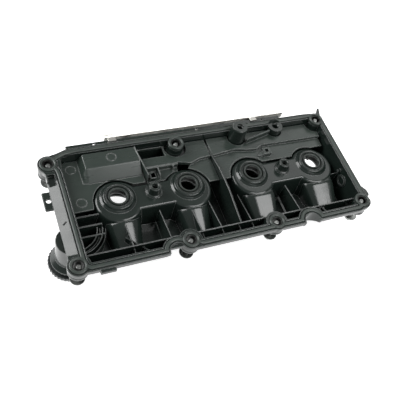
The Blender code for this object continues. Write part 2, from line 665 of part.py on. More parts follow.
def separator_plate_middle():
    edge = REAR_Y - EDGE_GAP
    high = [(-92.8, 33.0), (-46.0, 33.0), (-30.0, 28.5), (-16.0, 33.5), (-1.5, 34.5), (-1.5, edge),
            (-92.8, edge)]
    low = arc((INJECTOR_X[1], PLATE_Y), PLATE_R + 1.5, 72, 8, 7)
    low += [(-1.5, 0.0), (-1.5, 37.0), (-18.0, 36.0), (-29.0, 31.0)]
    plate = stepped_plate(high, low)
    shelf = [(-90.0, 15.6), (-67.0, 16.2)] + arc((INJECTOR_X[1], PLATE_Y), PLATE_R + 2.4, 134, 96, 4)
    shelf += [(-46.5, 33.4), (-90.0, 33.4)]
    extras = [prism("shelf", shelf, SHELF_Z - BAFFLE_SHEET, SHELF_Z)]
    extras.append(block("shelf_wall", (-90.0, -46.5), (31.6, 33.4), (SHELF_Z - 1.0, HIGH_Z - 1.0)))
    for x, y in ((-73.0, 17.5), (-53.0, 26.0)):
        web = [(y, SHELF_Z - 1.0), (32.5, SHELF_Z - 1.0), (32.5, HIGH_Z - 1.2), (y + 4.0, HIGH_Z - 1.2)]
        extras.append(side_plate("web", web, x - 0.8, x + 0.8))
    extras.append(block("latch", (-87.0, -79.0), (17.0, 26.0), (SHELF_Z - 1.0, HIGH_Z - 1.0)))
    add(plate, extras)
    drain = block("drain", (-90.5, -60.0), (47.0, 59.5), (LOW_Z - 4.0, HIGH_Z + 2.0))
    return cut(plate, [drain, block("latch_hole", (-85.0, -81.0), (19.0, 23.0), (SHELF_Z - 4.0, HIGH_Z + 2.0))])


def separator_plate_right():
    edge = REAR_Y - EDGE_GAP
    right = RIGHT_X - EDGE_GAP
    high = [(1.5, 34.5), (34.0, 38.0), (49.0, 35.0), (64.0, 33.0), (73.0, 38.0), (163.0, 37.0),
            (right - 2.0, 39.0), (right - 2.0, edge), (1.5, edge)]
    low = [(1.5, 0.0)] + arc((INJECTOR_X[2], PLATE_Y), PLATE_R + 1.5, 172, 48, 10)
    low += [(66.0, 15.4), (110.0, 15.4)]
    low += arc((INJECTOR_X[3], PLATE_Y), PLATE_R + 1.5, 126, 70, 5)
    low += [(162.0, 24.0), (162.0, 39.5), (1.5, 39.5)]
    plate = stepped_plate(high, low)
    rail = [(56.2, 47.6), (56.8, 45.9), (89.4, 53.6), (88.8, 55.4)]
    latch = block("latch", (71.0, 80.0), (22.5, 31.5), (LOW_Z - 1.0, LOW_Z + 5.0))
    add(plate, [prism("rail", rail, HIGH_Z - 1.0, HIGH_Z + 5.5), latch])
    return cut(plate, [block("latch_hole", (73.5, 77.5), (25.0, 29.0), (LOW_Z - 4.0, LOW_Z + 7.0))])


# ---------------------------------------------------------------- seals

def injector_seal(x):
    """Rubber seal with an inner lip, pressed in the well from the valve side."""
    profile = [(INJECTOR_R, SEAL_TOP_Z - 1.6), (9.9, SEAL_TOP_Z - 0.2), (11.9, SEAL_TOP_Z),
               (12.3, SEAL_TOP_Z - 1.2), (13.3, SEAL_TOP_Z - 1.3), (13.8, SEAL_TOP_Z - 0.2),
               (SEAL_R, SEAL_TOP_Z - 0.4), (SEAL_R, SEAL_TOP_Z - 7.4), (12.6, SEAL_TOP_Z - 7.4),
               (12.6, SEAL_TOP_Z - 4.0), (10.6, SEAL_TOP_Z - 3.4)]
    return lathe("seal", profile, (x, 0.0, 0.0), FINE, ring=True)


def injector_seal_case(x):
    """Steel ring that keeps the seal round, with a lip turned in at its foot."""
    top = SEAL_TOP_Z - 7.4 - GAP
    profile = [(SEAL_R, top), (SEAL_R, CASE_Z), (12.2, CASE_Z), (12.2, CASE_Z + 1.2), (13.5, CASE_Z + 1.2),
               (13.5, top)]
    return lathe("case", profile, (x, 0.0, 0.0), FINE, ring=True)


def clamp_bolt_seal(x):
    profile = [(3.4, -5.7), (5.3, -5.7), (5.3, -1.5), (4.6, -1.0), (3.4, -2.0)]
    return lathe("clamp_seal", profile, (x, 0.0, 0.0), ring=True)


# ---------------------------------------------------------------- captive bolts

def sleeve_end(depth):
    return -depth - 2.0


def washer_top(depth):
    return sleeve_end(depth) - BOLT_TRAVEL - GAP


def bolt_sleeve(place):
    x, y, depth = place
    inner, outer = SLEEVE_R
    profile = [(inner, sleeve_end(depth)), (outer, sleeve_end(depth)), (outer, -1.2), (inner, -1.2)]
    return lathe("sleeve", profile, (x, y, 0.0), ring=True)


def bolt_grommet(place):
    """Rubber bush in the foot of the column, with a flange below it."""
    x, y, depth = place
    inner = SLEEVE_R[1] + GAP
    profile = [(inner, -depth - 1.6), (10.2, -depth - 1.6), (10.2, -depth - GAP), (GROMMET_R, -depth - GAP),
               (GROMMET_R, -depth + 3.7), (inner, -depth + 3.7)]
    return lathe("grommet", profile, (x, y, 0.0), ring=True)


def bolt_washer(place):
    x, y, depth = place
    top = washer_top(depth)
    profile = [(BOLT_R + 0.4, top - 1.2), (8.6, top - 1.2), (8.6, top), (BOLT_R + 0.4, top)]
    return lathe("washer", profile, (x, y, 0.0), ring=True)


def cover_bolt(place):
    """Bolt with a flanged hexagon head; its tip points out of the gasket face."""
    x, y, depth = place
    under = washer_top(depth) - 1.2 - GAP
    head = under - 6.5
    profile = [(0, head + 1.0), (4.0, head + 1.0), (7.4, under - 1.3), (7.4, under), (BOLT_R, under),
               (BOLT_R, BOLT_TIP_Z - 1.0), (2.2, BOLT_TIP_Z), (0, BOLT_TIP_Z)]
    bolt = lathe("bolt", profile, (x, y, 0.0))
    hexagon = lathe("hexagon", [(0, head), (5.2, head), (5.2, under - 1.0), (0, under - 1.0)], (x, y, 0.0), 6)
    return add(bolt, [hexagon])


# ---------------------------------------------------------------- filler cap

def filler_cap_seal():
    profile = [(14.6, NECK_Z - GAP - 2.0), (17.0, NECK_Z - GAP - 2.0), (17.0, NECK_Z - GAP),
               (14.6, NECK_Z - GAP)]
    return lathe("cap_seal", profile, (NECK[0], NECK[1], 0.0), FINE, ring=True)


def filler_cap():
    """Cap with a plain spigot in the neck and a grip bar across its outer face."""
    under = NECK_Z - 2.0 - 2.0 * GAP
    profile = [(0, CAP_Z + 4.0), (21.0, CAP_Z + 4.0), (CAP_R, CAP_Z + 6.0), (CAP_R, under), (13.4, under),
               (13.4, NECK_Z + 10.0), (11.4, NECK_Z + 10.0), (11.4, under - 2.0), (0, under - 2.0)]
    cap = lathe("cap", profile, (NECK[0], NECK[1], 0.0), FINE)
    x, y = NECK
    return add(cap, [block("grip", (x - 19.0, x + 19.0), (y - 4.5, y + 4.5), (CAP_Z, CAP_Z + 5.0))])


# ---------------------------------------------------------------- crankcase pressure regulator

def regulator_diaphragm():
    """Rubber disc with one rolled fold, clamped by its rim under the cup."""
    upper = CUP_Z - GAP
    profile = [(0, upper - 1.5), (10.2, upper - 1.5), (11.6, upper + 0.1), (12.9, upper + 0.1),
               (14.2, upper - 0.9), (CUP_R - 0.2, upper - 0.9), (CUP_R - 0.2, upper), (14.5, upper),
               (13.1, upper + 1.0), (11.5, upper + 1.0), (10.0, upper - 0.6), (0, upper - 0.6)]
    return lathe("diaphragm", profile, (REGULATOR[0], REGULATOR[1], 0.0), FINE)


def plunger_top():
    return CUP_Z + 0.6


def regulator_plunger():
    """Valve disc on the diaphragm; it closes the seat tube when the engine pulls a vacuum."""
    face = SEAT_Z - REGULATOR_TRAVEL - 0.4
    profile = [(0, CUP_Z - 0.6), (9.4, CUP_Z - 0.6), (9.4, plunger_top()), (6.5, plunger_top()),
               (6.5, face), (0, face)]
    return lathe("plunger", profile, (REGULATOR[0], REGULATOR[1], 0.0))


def regulator_spring():
    """Coil spring that holds the valve open, between the plunger and the cup's floor."""
    wire = 0.55
    coil = 8.6
    turns = 4.0
    low = plunger_top() + GAP + wire
    high = ROOF_Z - 0.5 - GAP - wire
    steps = int(turns * 12)
    sides = 5
    bm = bmesh.new()
    rings = []
    for i in range(steps + 1):
        angle = 2.0 * math.pi * turns * i / steps
        centre = Vector((coil * math.cos(angle), coil * math.sin(angle), low + (high - low) * i / steps))
        outward = Vector((math.cos(angle), math.sin(angle), 0.0))
        ring = []
        for k in range(sides):
            turn = 2.0 * math.pi * k / sides
            ring.append(bm.verts.new(centre + outward * wire * math.cos(turn)
                                     + Vector((0, 0, 1)) * wire * math.sin(turn)))
        rings.append(ring)
    for a, b in zip(rings, rings[1:]):
        for k in range(sides):
            j = (k + 1) % sides
            bm.faces.new((a[k], a[j], b[j], b[k]))
    bm.faces.new(rings[0])
    bm.faces.new(rings[-1])
    return make_object("spring", bm, (REGULATOR[0], REGULATOR[1], 0.0))


def regulator_cover():
    """Snap-on lid below the diaphragm, with a vent to the open air."""
    rim = CUP_Z - 2.0 * GAP - 0.9
    profile = [(0, rim - 7.5), (17.4, rim - 7.5), (CUP_R, rim - 6.0), (CUP_R, rim), (16.4, rim),
               (16.4, rim - 5.3), (0, rim - 5.3)]
    lid = lathe("lid", profile, (REGULATOR[0], REGULATOR[1], 0.0), FINE)
    return cut(lid, [disc("vent", (REGULATOR[0], REGULATOR[1] + 9.0), 1.2, rim - 9.0, rim - 4.0, 8)])


def breather_pipe():
    """Hose nipple that is welded in the side of the regulator cup."""
    inner = PIPE_R - 1.8
    profile = [(inner, 17.0), (PIPE_R, 17.0), (PIPE_R, 20.0), (8.2, 20.0), (8.2, 22.0), (PIPE_R, 22.0),
               (PIPE_R, 56.0), (PIPE_R + 1.0, 59.0), (inner + 0.6, 64.0), (inner, 64.0)]
    pipe = lathe("pipe", profile, (REGULATOR[0], REGULATOR[1], PIPE_Z), ring=True)
    pipe.rotation_euler = (0.0, math.pi / 2.0, 0.0)
    return pipe


# ---------------------------------------------------------------- heat shield

def heat_shield():
    """Swaged aluminium sheet on the hot side, turned out at its top and hung in two slots of the lip."""
    y0 = SHIELD_Y
    y1 = SHIELD_Y + SHIELD_SHEET
    low = SHIELD_LOW_Z
    sheet = [(y0, low), (y1, low), (y1, -31.0), (y1 + 1.6, -27.0), (y1 + 1.6, -14.0), (y1, -10.0),
             (y1, -2.4), (y1 + 3.0, -0.8), (y1 + 3.0, 0.2), (y0, -1.4), (y0, -10.0), (y0 + 1.6, -14.0),
             (y0 + 1.6, -27.0), (y0, -31.0)]
    shield = side_plate("sheet", sheet, SHIELD_X[0], SHIELD_X[1])
    hooks = []
    for x0, x1 in SLOT_X:
        hook = [(y0 + 0.5, -2.8), (y0 + 0.5, -1.7), (SLOT_Y[0] + 0.8, -1.2), (SLOT_Y[0] + 0.8, -8.5),
                (SLOT_Y[0] + 1.8, -8.5), (SLOT_Y[0] + 1.8, -2.4)]
        hooks.append(side_plate("hook", hook, x0 + 1.0, x1 - 1.0))
    add(shield, hooks)
    holes = []
    for x in SHIELD_SCREW_X:
        hole = disc("screw_hole", (0.0, 0.0), 2.7, -4.0, 8.0, 12)
        hole.location = (x, SHIELD_Y, SHIELD_SCREW_Z)
        hole.rotation_euler = (math.pi / 2.0, 0.0, 0.0)
        holes.append(hole)
    return cut(shield, holes)


def shield_screw(x):
    """Pan-head screw that holds the shield on a boss of the rear wall."""
    profile = [(0, 0.0), (4.6, 0.0), (4.6, 1.6), (3.4, 2.9), (0, 2.9)]
    screw = lathe("screw", [(0, -12.0), (1.6, -12.0), (2.0, -11.0), (2.0, 0.0)] + profile[1:], (0, 0, 0), 14)
    screw.location = (x, SHIELD_Y + SHIELD_SHEET + 1.6 + GAP, SHIELD_SCREW_Z)
    screw.rotation_euler = (-math.pi / 2.0, 0.0, 0.0)
    return screw


def main():
    for obj in list(bpy.data.objects):
        bpy.data.objects.remove(obj)
    origin = bpy.data.objects.new("gasket_plane", None)
    origin.location = (0.0, -GASKET_REAR_Y * MM, 0.0)
    bpy.context.scene.collection.objects.link(origin)

    shell_nylon = material("shell_nylon", (0.018, 0.022, 0.021), 0.28)
    baffle_nylon = material("baffle_nylon", (0.035, 0.042, 0.040), 0.45)
    rubber = material("gasket_rubber", (0.062, 0.070, 0.066), 0.62)
    seal_rubber = material("seal_rubber", (0.030, 0.034, 0.033), 0.50)
    zinc = material("zinc_steel", (0.62, 0.63, 0.64), 0.30, 1.0)
    steel = material("steel", (0.42, 0.43, 0.44), 0.38, 1.0)
    aluminium = material("aluminium", (0.80, 0.80, 0.79), 0.32, 1.0)
    cap_nylon = material("cap_nylon", (0.024, 0.028, 0.028), 0.38)

    nodes = [
        ("cover_shell", cover_shell(), shell_nylon),
        ("separator_plate_left", separator_plate_left(), baffle_nylon),
        ("separator_plate_middle", separator_plate_middle(), baffle_nylon),
        ("separator_plate_right", separator_plate_right(), baffle_nylon),
        ("perimeter_gasket", perimeter_gasket(), rubber),
        ("oil_filler_cap", filler_cap(), cap_nylon),
        ("filler_cap_seal", filler_cap_seal(), seal_rubber),
        ("regulator_cover", regulator_cover(), cap_nylon),
        ("regulator_diaphragm", regulator_diaphragm(), seal_rubber),
        ("regulator_plunger", regulator_plunger(), baffle_nylon),
        ("regulator_spring", regulator_spring(), steel),
        ("breather_pipe", breather_pipe(), baffle_nylon),
        ("heat_shield", heat_shield(), aluminium),
    ]
    for number, x in enumerate(INJECTOR_X, start=1):
        nodes.append((f"injector_seal_{number}", injector_seal(x), seal_rubber))
        nodes.append((f"injector_seal_case_{number}", injector_seal_case(x), steel))
    for side, x in CLAMP_X.items():
        nodes.append((f"clamp_bolt_seal_{side}", clamp_bolt_seal(x), seal_rubber))
    for side, x in zip(("left", "right"), SHIELD_SCREW_X):
        nodes.append((f"shield_screw_{side}", shield_screw(x), zinc))
    for name, place in BOLTS.items():
        nodes.append((f"cover_bolt_{name}", cover_bolt(place), zinc))
        nodes.append((f"bolt_washer_{name}", bolt_washer(place), zinc))
        nodes.append((f"bolt_sleeve_{name}", bolt_sleeve(place), steel))
        nodes.append((f"bolt_grommet_{name}", bolt_grommet(place), rubber))
    for name, obj, look in nodes:
        finish_node(obj, name, look, origin)


main()
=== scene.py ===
"""The looks of the cylinder head cover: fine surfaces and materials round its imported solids."""

import json
import math

import bmesh
import bpy
from mathutils import Matrix, Vector


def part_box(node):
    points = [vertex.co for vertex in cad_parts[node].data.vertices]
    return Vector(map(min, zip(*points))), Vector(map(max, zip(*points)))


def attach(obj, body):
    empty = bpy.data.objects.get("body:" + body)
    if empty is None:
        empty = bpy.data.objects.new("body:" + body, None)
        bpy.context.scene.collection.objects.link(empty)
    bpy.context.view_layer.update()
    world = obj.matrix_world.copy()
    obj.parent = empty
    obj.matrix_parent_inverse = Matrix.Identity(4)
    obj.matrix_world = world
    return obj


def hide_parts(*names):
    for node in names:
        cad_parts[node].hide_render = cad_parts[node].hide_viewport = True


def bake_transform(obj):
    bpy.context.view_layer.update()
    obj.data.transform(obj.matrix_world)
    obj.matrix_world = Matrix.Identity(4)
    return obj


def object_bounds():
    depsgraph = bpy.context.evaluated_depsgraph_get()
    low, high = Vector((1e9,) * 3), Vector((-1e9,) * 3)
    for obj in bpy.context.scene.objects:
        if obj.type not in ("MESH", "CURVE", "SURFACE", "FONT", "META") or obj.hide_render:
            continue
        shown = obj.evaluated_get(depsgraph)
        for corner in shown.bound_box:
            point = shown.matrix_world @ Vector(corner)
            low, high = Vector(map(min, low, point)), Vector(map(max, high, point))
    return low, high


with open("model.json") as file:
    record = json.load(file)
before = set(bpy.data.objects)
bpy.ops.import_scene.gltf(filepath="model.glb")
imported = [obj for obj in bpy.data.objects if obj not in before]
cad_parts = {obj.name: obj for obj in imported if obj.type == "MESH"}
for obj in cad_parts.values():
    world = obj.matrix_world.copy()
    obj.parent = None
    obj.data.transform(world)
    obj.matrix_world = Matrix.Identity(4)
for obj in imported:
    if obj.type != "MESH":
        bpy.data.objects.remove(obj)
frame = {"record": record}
cad_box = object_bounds()

# ---- places, from the frame
# Forms are built in millimetres about the middle of the injector row, in the sealing plane.

MM = 0.001


def centre(node):
    low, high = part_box(node)
    return (low + high) / 2.0


ROW = Vector((0.0, centre("injector_seal_1").y, 0.0))


def local(point):
    """A place of the frame in millimetres from the injector row."""
    return (point - ROW) / MM


def top_of(node):
    return local(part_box(node)[1]).z


def axis_of(node):
    place = local(centre(node))
    return (place.x, place.y)


BODY_OF = {node: body for body, nodes in frame["record"]["behaviour"]["bodies"].items() for node in nodes}
BOLT_NAMES = ["left_rear", "left_front", "front_left", "front_right", "right_front", "right_rear",
              "rear_middle"]
WELL_BOLTS = ["right_front", "right_rear", "rear_middle"]
BOLT = {name: axis_of(f"cover_bolt_{name}") for name in BOLT_NAMES}
COLUMN_DEPTH = {name: -local(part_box(f"bolt_sleeve_{name}")[0]).z - 2.0 for name in BOLT_NAMES}
INJECTOR_X = [axis_of(f"injector_seal_{i}")[0] for i in (1, 2, 3, 4)]
WELL_PAIRS = [INJECTOR_X[:2], INJECTOR_X[2:]]
CLAMP_X = [axis_of(f"clamp_bolt_seal_{side}")[0] for side in ("left", "right")]
NECK = axis_of("filler_cap_seal")
REGULATOR = axis_of("regulator_cover")
EMPTY_BOSS = (101.0, 59.0)
STUD_POST = (43.5, 56.5)

# ---- sizes of the shell, in millimetres

GAP = 0.3
WALL = 3.0
LAND_Z = -1.0
FLANGE_Z = -8.0
ROOF_Z = -48.0
FLOOR_Z = ROOF_Z + WALL
LEFT_X = -187.4
RIGHT_X = 166.7
FRONT_Y = -79.5
REAR_Y = 62.2
FLOOR_FRONT_Y = -60.5
FLANGE_LEFT_X = -207.0
FLANGE_RIGHT_X = 175.8
FLANGE_FRONT_Y = -89.6
FLANGE_REAR_Y = 71.5
LIP_Y = 77.0

GASKET_HALF = 2.4
GASKET_ROOM = 0.8
GASKET_DEPTH = 4.2
GASKET_FRONT_Y = -84.8
GASKET_REAR_Y = 66.8
GASKET_LEFT_X = -192.0
GASKET_RIGHT_X = 171.3
PAD_R = 10.0

NOTCH_X = [-88.0, 87.0]
NOTCH_Y = -88.0
LEFT_NOTCH, RIGHT_NOTCH = [(x, NOTCH_Y) for x in NOTCH_X]
NOTCH_R = 9.8
NOTCH_GASKET_R = 14.5
POCKET_R = NOTCH_R + 2.6
POCKET_Z = -22.0

COLUMN_R = 11.3
BOLT_R = 3.0
SLEEVE_R = (5.3, 6.4)
GROMMET_R = 8.7
WELL_R = 11.5
ACCESS_Z = -44.0

WELL_Z = -13.5
PLATE_R = 28.0
PLATE_Y = -4.0
NECK_FRONT_Y = -20.0
NECK_REAR_Y = 13.0
TAPER = 5.0
RAMP_Y = -34.0
RAMP_SLOPE = 0.443
RAMP_FOOT_Z = -75.0
SEAL_R = 14.9
INJECTOR_R = 9.2
SEAL_TOP_Z = -8.8
CASE_Z = -19.7
TUBE_Z = -22.0
CLAMP_HOLE_R = 3.5

NECK_R = 17.0
NECK_BORE_R = 14.0
NECK_Z = -56.0
CAP_R = 25.0
CAP_Z = -70.0
CUP_R = 19.0
CUP_Z = -65.0
SEAT_Z = -54.0
SPRING_SEAT_Z = ROOF_Z - 0.5
PIPE_R = 6.8
PIPE_Z = -56.6

SHIELD_X = (-128.0, 122.0)
SHIELD_Y = 79.0
SHIELD_SHEET = 1.0
SHIELD_LOW_Z = -40.0
SHIELD_SCREW_X = (-92.0, 84.0)
SHIELD_SCREW_Z = -30.0
SLOT_X = ((-125.0, -113.0), (69.0, 80.0))
SLOT_Y = (72.6, 75.6)

HIGH_Z = -10.5
LOW_Z = -13.8
SHELF_Z = -18.5
BAFFLE_SHEET = 2.2
EDGE_GAP = 1.0
EDGE_Y = REAR_Y - EDGE_GAP

# Depths at which ribs and raised forms end inside the floor, and heights that clear a baffle
RIB_FOOT_Z = FLOOR_Z - 1.0
PEDESTAL_FOOT_Z = FLOOR_Z - 6.0
THROUGH = (-30.0, 5.0)

# Sides of small, large and very large round forms
SMALL = 24
ROUND = 40
FINE = 64

# Corners of a profile that turn by less than this stay as they are, in radians
SOFT_TURN = 0.3

# Share of a profile's side that a rounded corner may use, and the least cosine of a mitre
CORNER_SHARE = 0.45
MITRE_LEAST = 0.35

# Axis of forms that are turned into their place afterwards
MIDDLE = (0.0, 0.0)

# Edges sharper than this stay sharp in the shading, in degrees
CREASE = 33.0


# ---- building blocks

def arc(middle, radius, start, end, count=12):
    """Points on a circle from one angle to another, in degrees."""
    points = []
    for i in range(count + 1):
        angle = math.radians(start + (end - start) * i / count)
        points.append((middle[0] + radius * math.cos(angle), middle[1] + radius * math.sin(angle)))
    return points


def box_outline(x0, x1, y0, y1, radius=0.0, count=6):
    """Rectangle with rounded corners, anticlockwise."""
    if radius == 0.0:
        return [(x0, y0), (x1, y0), (x1, y1), (x0, y1)]
    outline = arc((x0 + radius, y0 + radius), radius, 180, 270, count)
    outline += arc((x1 - radius, y0 + radius), radius, 270, 360, count)
    outline += arc((x1 - radius, y1 - radius), radius, 0, 90, count)
    outline += arc((x0 + radius, y1 - radius), radius, 90, 180, count)
    return outline


def offset_loop(path, distance):
    """Closed loop moved sideways by a distance, outwards when it is positive."""
    points = [Vector(point) for point in path]
    moved = []
    for i, point in enumerate(points):
        before = (point - points[i - 1]).normalized()
        after = (points[(i + 1) % len(points)] - point).normalized()
        out_before = Vector((before.y, -before.x))
        out_after = Vector((after.y, -after.x))
        mitre = (out_before + out_after).normalized()
        moved.append(tuple(point + mitre * (distance / max(mitre.dot(out_after), MITRE_LEAST))))
    return moved


def rounded(profile, radius, steps=3):
    """Profile with each inner corner replaced by an arc; both ends stay sharp."""
    points = [Vector(point) for point in profile]
    result = [tuple(points[0])]
    for before, corner, after in zip(points, points[1:], points[2:]):
        to_before = before - corner
        to_after = after - corner
        if to_before.angle(-to_after, 0.0) < SOFT_TURN:
            result.append(tuple(corner))
            continue
        reach = min(radius, CORNER_SHARE * to_before.length, CORNER_SHARE * to_after.length)
        start = corner + to_before.normalized() * reach
        end = corner + to_after.normalized() * reach
        for i in range(steps + 1):
            t = i / steps
            result.append(tuple(start * (1 - t) ** 2 + corner * 2 * t * (1 - t) + end * t * t))
    result.append(tuple(points[-1]))
    return result


def soften(outline, radius):
    """Closed outline with its corners rounded."""
    loop = [outline[-1]] + outline + [outline[0]]
    return rounded(loop, radius)[1:-1]


def make_object(name, bm, axis=(0.0, 0.0)):
    """Object of a mesh whose own origin stands on an upright axis."""
    bmesh.ops.recalc_face_normals(bm, faces=bm.faces)
    mesh = bpy.data.meshes.new(name)
    bm.to_mesh(mesh)
    bm.free()
    obj = bpy.data.objects.new(name, mesh)
    obj.location = (*axis, 0.0)
    bpy.context.scene.collection.objects.link(obj)
    return obj


def loft(name, sections, axis=(0.0, 0.0), ring=False):
    """Closed solid through loops of the same number of 3-D points; ring joins the last to the first."""
    bm = bmesh.new()
    rings = [[bm.verts.new(point) for point in section] for section in sections]
    following = rings[1:] + rings[:1] if ring else rings[1:]
    for lower, upper in zip(rings, following):
        for i in range(len(lower)):
            j = (i + 1) % len(lower)
            bm.faces.new((lower[i], lower[j], upper[j], upper[i]))
    if not ring:
        bm.faces.new(rings[0])
        bm.faces.new(rings[-1])
    return make_object(name, bm, axis)


def at_height(outline, z):
    return [(x, y, z) for x, y in outline]


def prism(name, outline, bottom, top, round_top=0.0, round_bottom=0.0, steps=3):
    """Upright solid on an outline, with its top and bottom edges rounded."""
    sections = []
    for i in range(steps + 1 if round_bottom else 1):
        angle = math.pi / 2.0 * i / steps
        inner = offset_loop(outline, -round_bottom * (1.0 - math.sin(angle)))
        sections.append(at_height(inner, bottom + round_bottom * (1.0 - math.cos(angle))))
    for i in range(steps + 1 if round_top else 1):
        angle = math.pi / 2.0 * i / steps
        inner = offset_loop(outline, -round_top * (1.0 - math.cos(angle)))
        sections.append(at_height(inner, top - round_top * (1.0 - math.sin(angle))))
    return loft(name, sections)


def block(name, x, y, z, radius=0.0):
    soft = min(radius, 0.8)
    return prism(name, box_outline(*x, *y, radius), *z, soft, soft)


def about(middle, half):
    """Range that reaches equally far to both sides."""
    return (middle - half, middle + half)


def soft_slices(profile, start, end, edge):
    """Pairs of (place, outline) through a plate of even thickness with soft edges."""
    inner = offset_loop(profile, -edge)
    return [(start, inner), (start + edge, profile), (end - edge, profile), (end, inner)]


def side_plate(name, profile, x0, x1, edge=0.4):
    """Plate along X from a profile of (y, z) points."""
    return loft(name, [[(x, y, z) for y, z in points] for x, points in soft_slices(profile, x0, x1, edge)])


def front_plate(name, profile, y0, y1, edge=0.4):
    """Plate along Y from a profile of (x, z) points."""
    return loft(name, [[(x, y, z) for x, z in points] for y, points in soft_slices(profile, y0, y1, edge)])


def to_axis(profile):
    """Profile of a solid with both ends led to its axis."""
    first = [] if profile[0][0] == 0 else [(0, profile[0][1])]
    last = [] if profile[-1][0] == 0 else [(0, profile[-1][1])]
    return first + profile + last


def lathe(name, profile, axis, segments=ROUND, ring=False):
    """Form turned about an upright axis from (radius, height) points: a solid or an open ring."""
    bm = bmesh.new()
    turn = 2.0 * math.pi / segments
    loops = []
    for radius, z in profile if ring else to_axis(profile):
        sides = segments if radius else 1
        loops.append([bm.verts.new((radius * math.cos(i * turn), radius * math.sin(i * turn), z))
                      for i in range(sides)])
    following = loops[1:] + loops[:1] if ring else loops[1:]
    for a, b in zip(loops, following):
        for i in range(segments):
            j = (i + 1) % segments
            corners = [a[i % len(a)], a[j % len(a)], b[j % len(b)], b[i % len(b)]]
            bm.faces.new(list(dict.fromkeys(corners)))
    return make_object(name, bm, axis)


def turned(name, profile, axis, radius=0.4, segments=ROUND, ring=False):
    """Turned form whose corners are rounded."""
    if ring:
        middle = tuple((Vector(profile[0]) + Vector(profile[-1])) / 2.0)
        profile = rounded([middle] + profile + [middle], radius)[:-1]
    else:
        profile = rounded(to_axis(profile), radius)
    return lathe(name, profile, axis, segments, ring)


def stepped(name, axis, bottom, steps, segments=ROUND):
    """Round solid of cylinders on each other, from (radius, top) of each."""
    profile = []
    for radius, top in steps:
        profile += [(radius, bottom), (radius, top)]
        bottom = top
    return lathe(name, profile, axis, segments)


def disc(name, axis, radius, bottom, top, segments=ROUND):
    return stepped(name, axis, bottom, [(radius, top)], segments)


def combine(target, tools, operation):
    """Boolean of one object with a list of others, which it uses up."""
    for tool in tools:
        modifier = target.modifiers.new("boolean", "BOOLEAN")
        modifier.object = tool
        modifier.operation = operation
        modifier.solver = "MANIFOLD"
        graph = bpy.context.evaluated_depsgraph_get()
        mesh = bpy.data.meshes.new_from_object(target.evaluated_get(graph))
        target.modifiers.clear()
        target.data = mesh
        bpy.data.objects.remove(tool)
    return target


def add(target, tools):
    return combine(target, tools, "UNION")


def cut(target, tools):
    return combine(target, tools, "DIFFERENCE")


def turn_to(obj, place, rotation):
    """Places an object and turns it by Euler angles in degrees."""
    obj.location = place
    obj.rotation_euler = [math.radians(angle) for angle in rotation]
    return obj


def on_shield(obj, x, y):
    """Turns an upright form to the rear wall, on a screw's axis."""
    return turn_to(obj, (x, y, SHIELD_SCREW_Z), (90.0, 0.0, 0.0))


def finish_piece(obj, node, look, stretch=None):
    """Scales a form to the frame, gives it its material and lets it ride in its node's place.

    A stretch names a moving body and two ends, but only whether one is given is used: such a piece stays in
    place and is attached to no body.
    """
    bpy.context.view_layer.update()
    obj.data.transform(Matrix.Translation(ROW) @ Matrix.Scale(MM, 4) @ obj.matrix_world)
    obj.matrix_world = Matrix.Identity(4)
    obj.name = f"{node}_fine"
    obj.data.materials.clear()
    obj.data.materials.append(look)
    obj.data.polygons.foreach_set("material_index", [0] * len(obj.data.polygons))
    obj.data.shade_smooth()
    obj.data.set_sharp_from_angle(angle=math.radians(CREASE))
    weighted = obj.modifiers.new("weighted_normal", "WEIGHTED_NORMAL")
    weighted.keep_sharp = True
    weighted.weight = 80
    if stretch:
        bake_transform(obj)
    else:
        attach(obj, BODY_OF[node])
    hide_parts(node)


# ---- outlines

def flange_outline():
    """Outer edge of the flange: lobes round the corner bolts and two notches in the front."""
    left_rear, left_front, front_left, front_right, right_front, right_rear = list(BOLT.values())[:6]
    outline = arc(left_front, 12.2, 140, 305, 22)
    outline += [(left_front[0] + 12.0, FLANGE_FRONT_Y), (NOTCH_X[0] - 15.0, FLANGE_FRONT_Y)]
    outline += arc(LEFT_NOTCH, NOTCH_R, 186, 54, 18)
    outline += arc(front_left, 11.6, 190, 275, 12)
    outline += [(front_left[0] + 8.0, FLANGE_FRONT_Y)]
    outline += arc(front_right, 11.6, 245, 295, 8)
    outline += [(NOTCH_X[1] - 14.0, FLANGE_FRONT_Y)]
    outline += arc(RIGHT_NOTCH, NOTCH_R, 186, -6, 24)
    outline += [(NOTCH_X[1] + 13.0, FLANGE_FRONT_Y), (155.0, FLANGE_FRONT_Y)]
    outline += arc(right_front, 12.0, 285, 352, 10)
    outline += [(FLANGE_RIGHT_X, right_front[1] + 9.0)]
    outline += arc(right_rear, FLANGE_RIGHT_X - right_rear[0], 0, 80, 10)
    outline += [(150.0, FLANGE_REAR_Y), (-176.0, FLANGE_REAR_Y), (-189.0, 67.0)]
    outline += arc(left_rear, 12.0, 75, 218, 18)
    outline += [(FLANGE_LEFT_X, 40.0), (FLANGE_LEFT_X, -64.0)]
    return outline


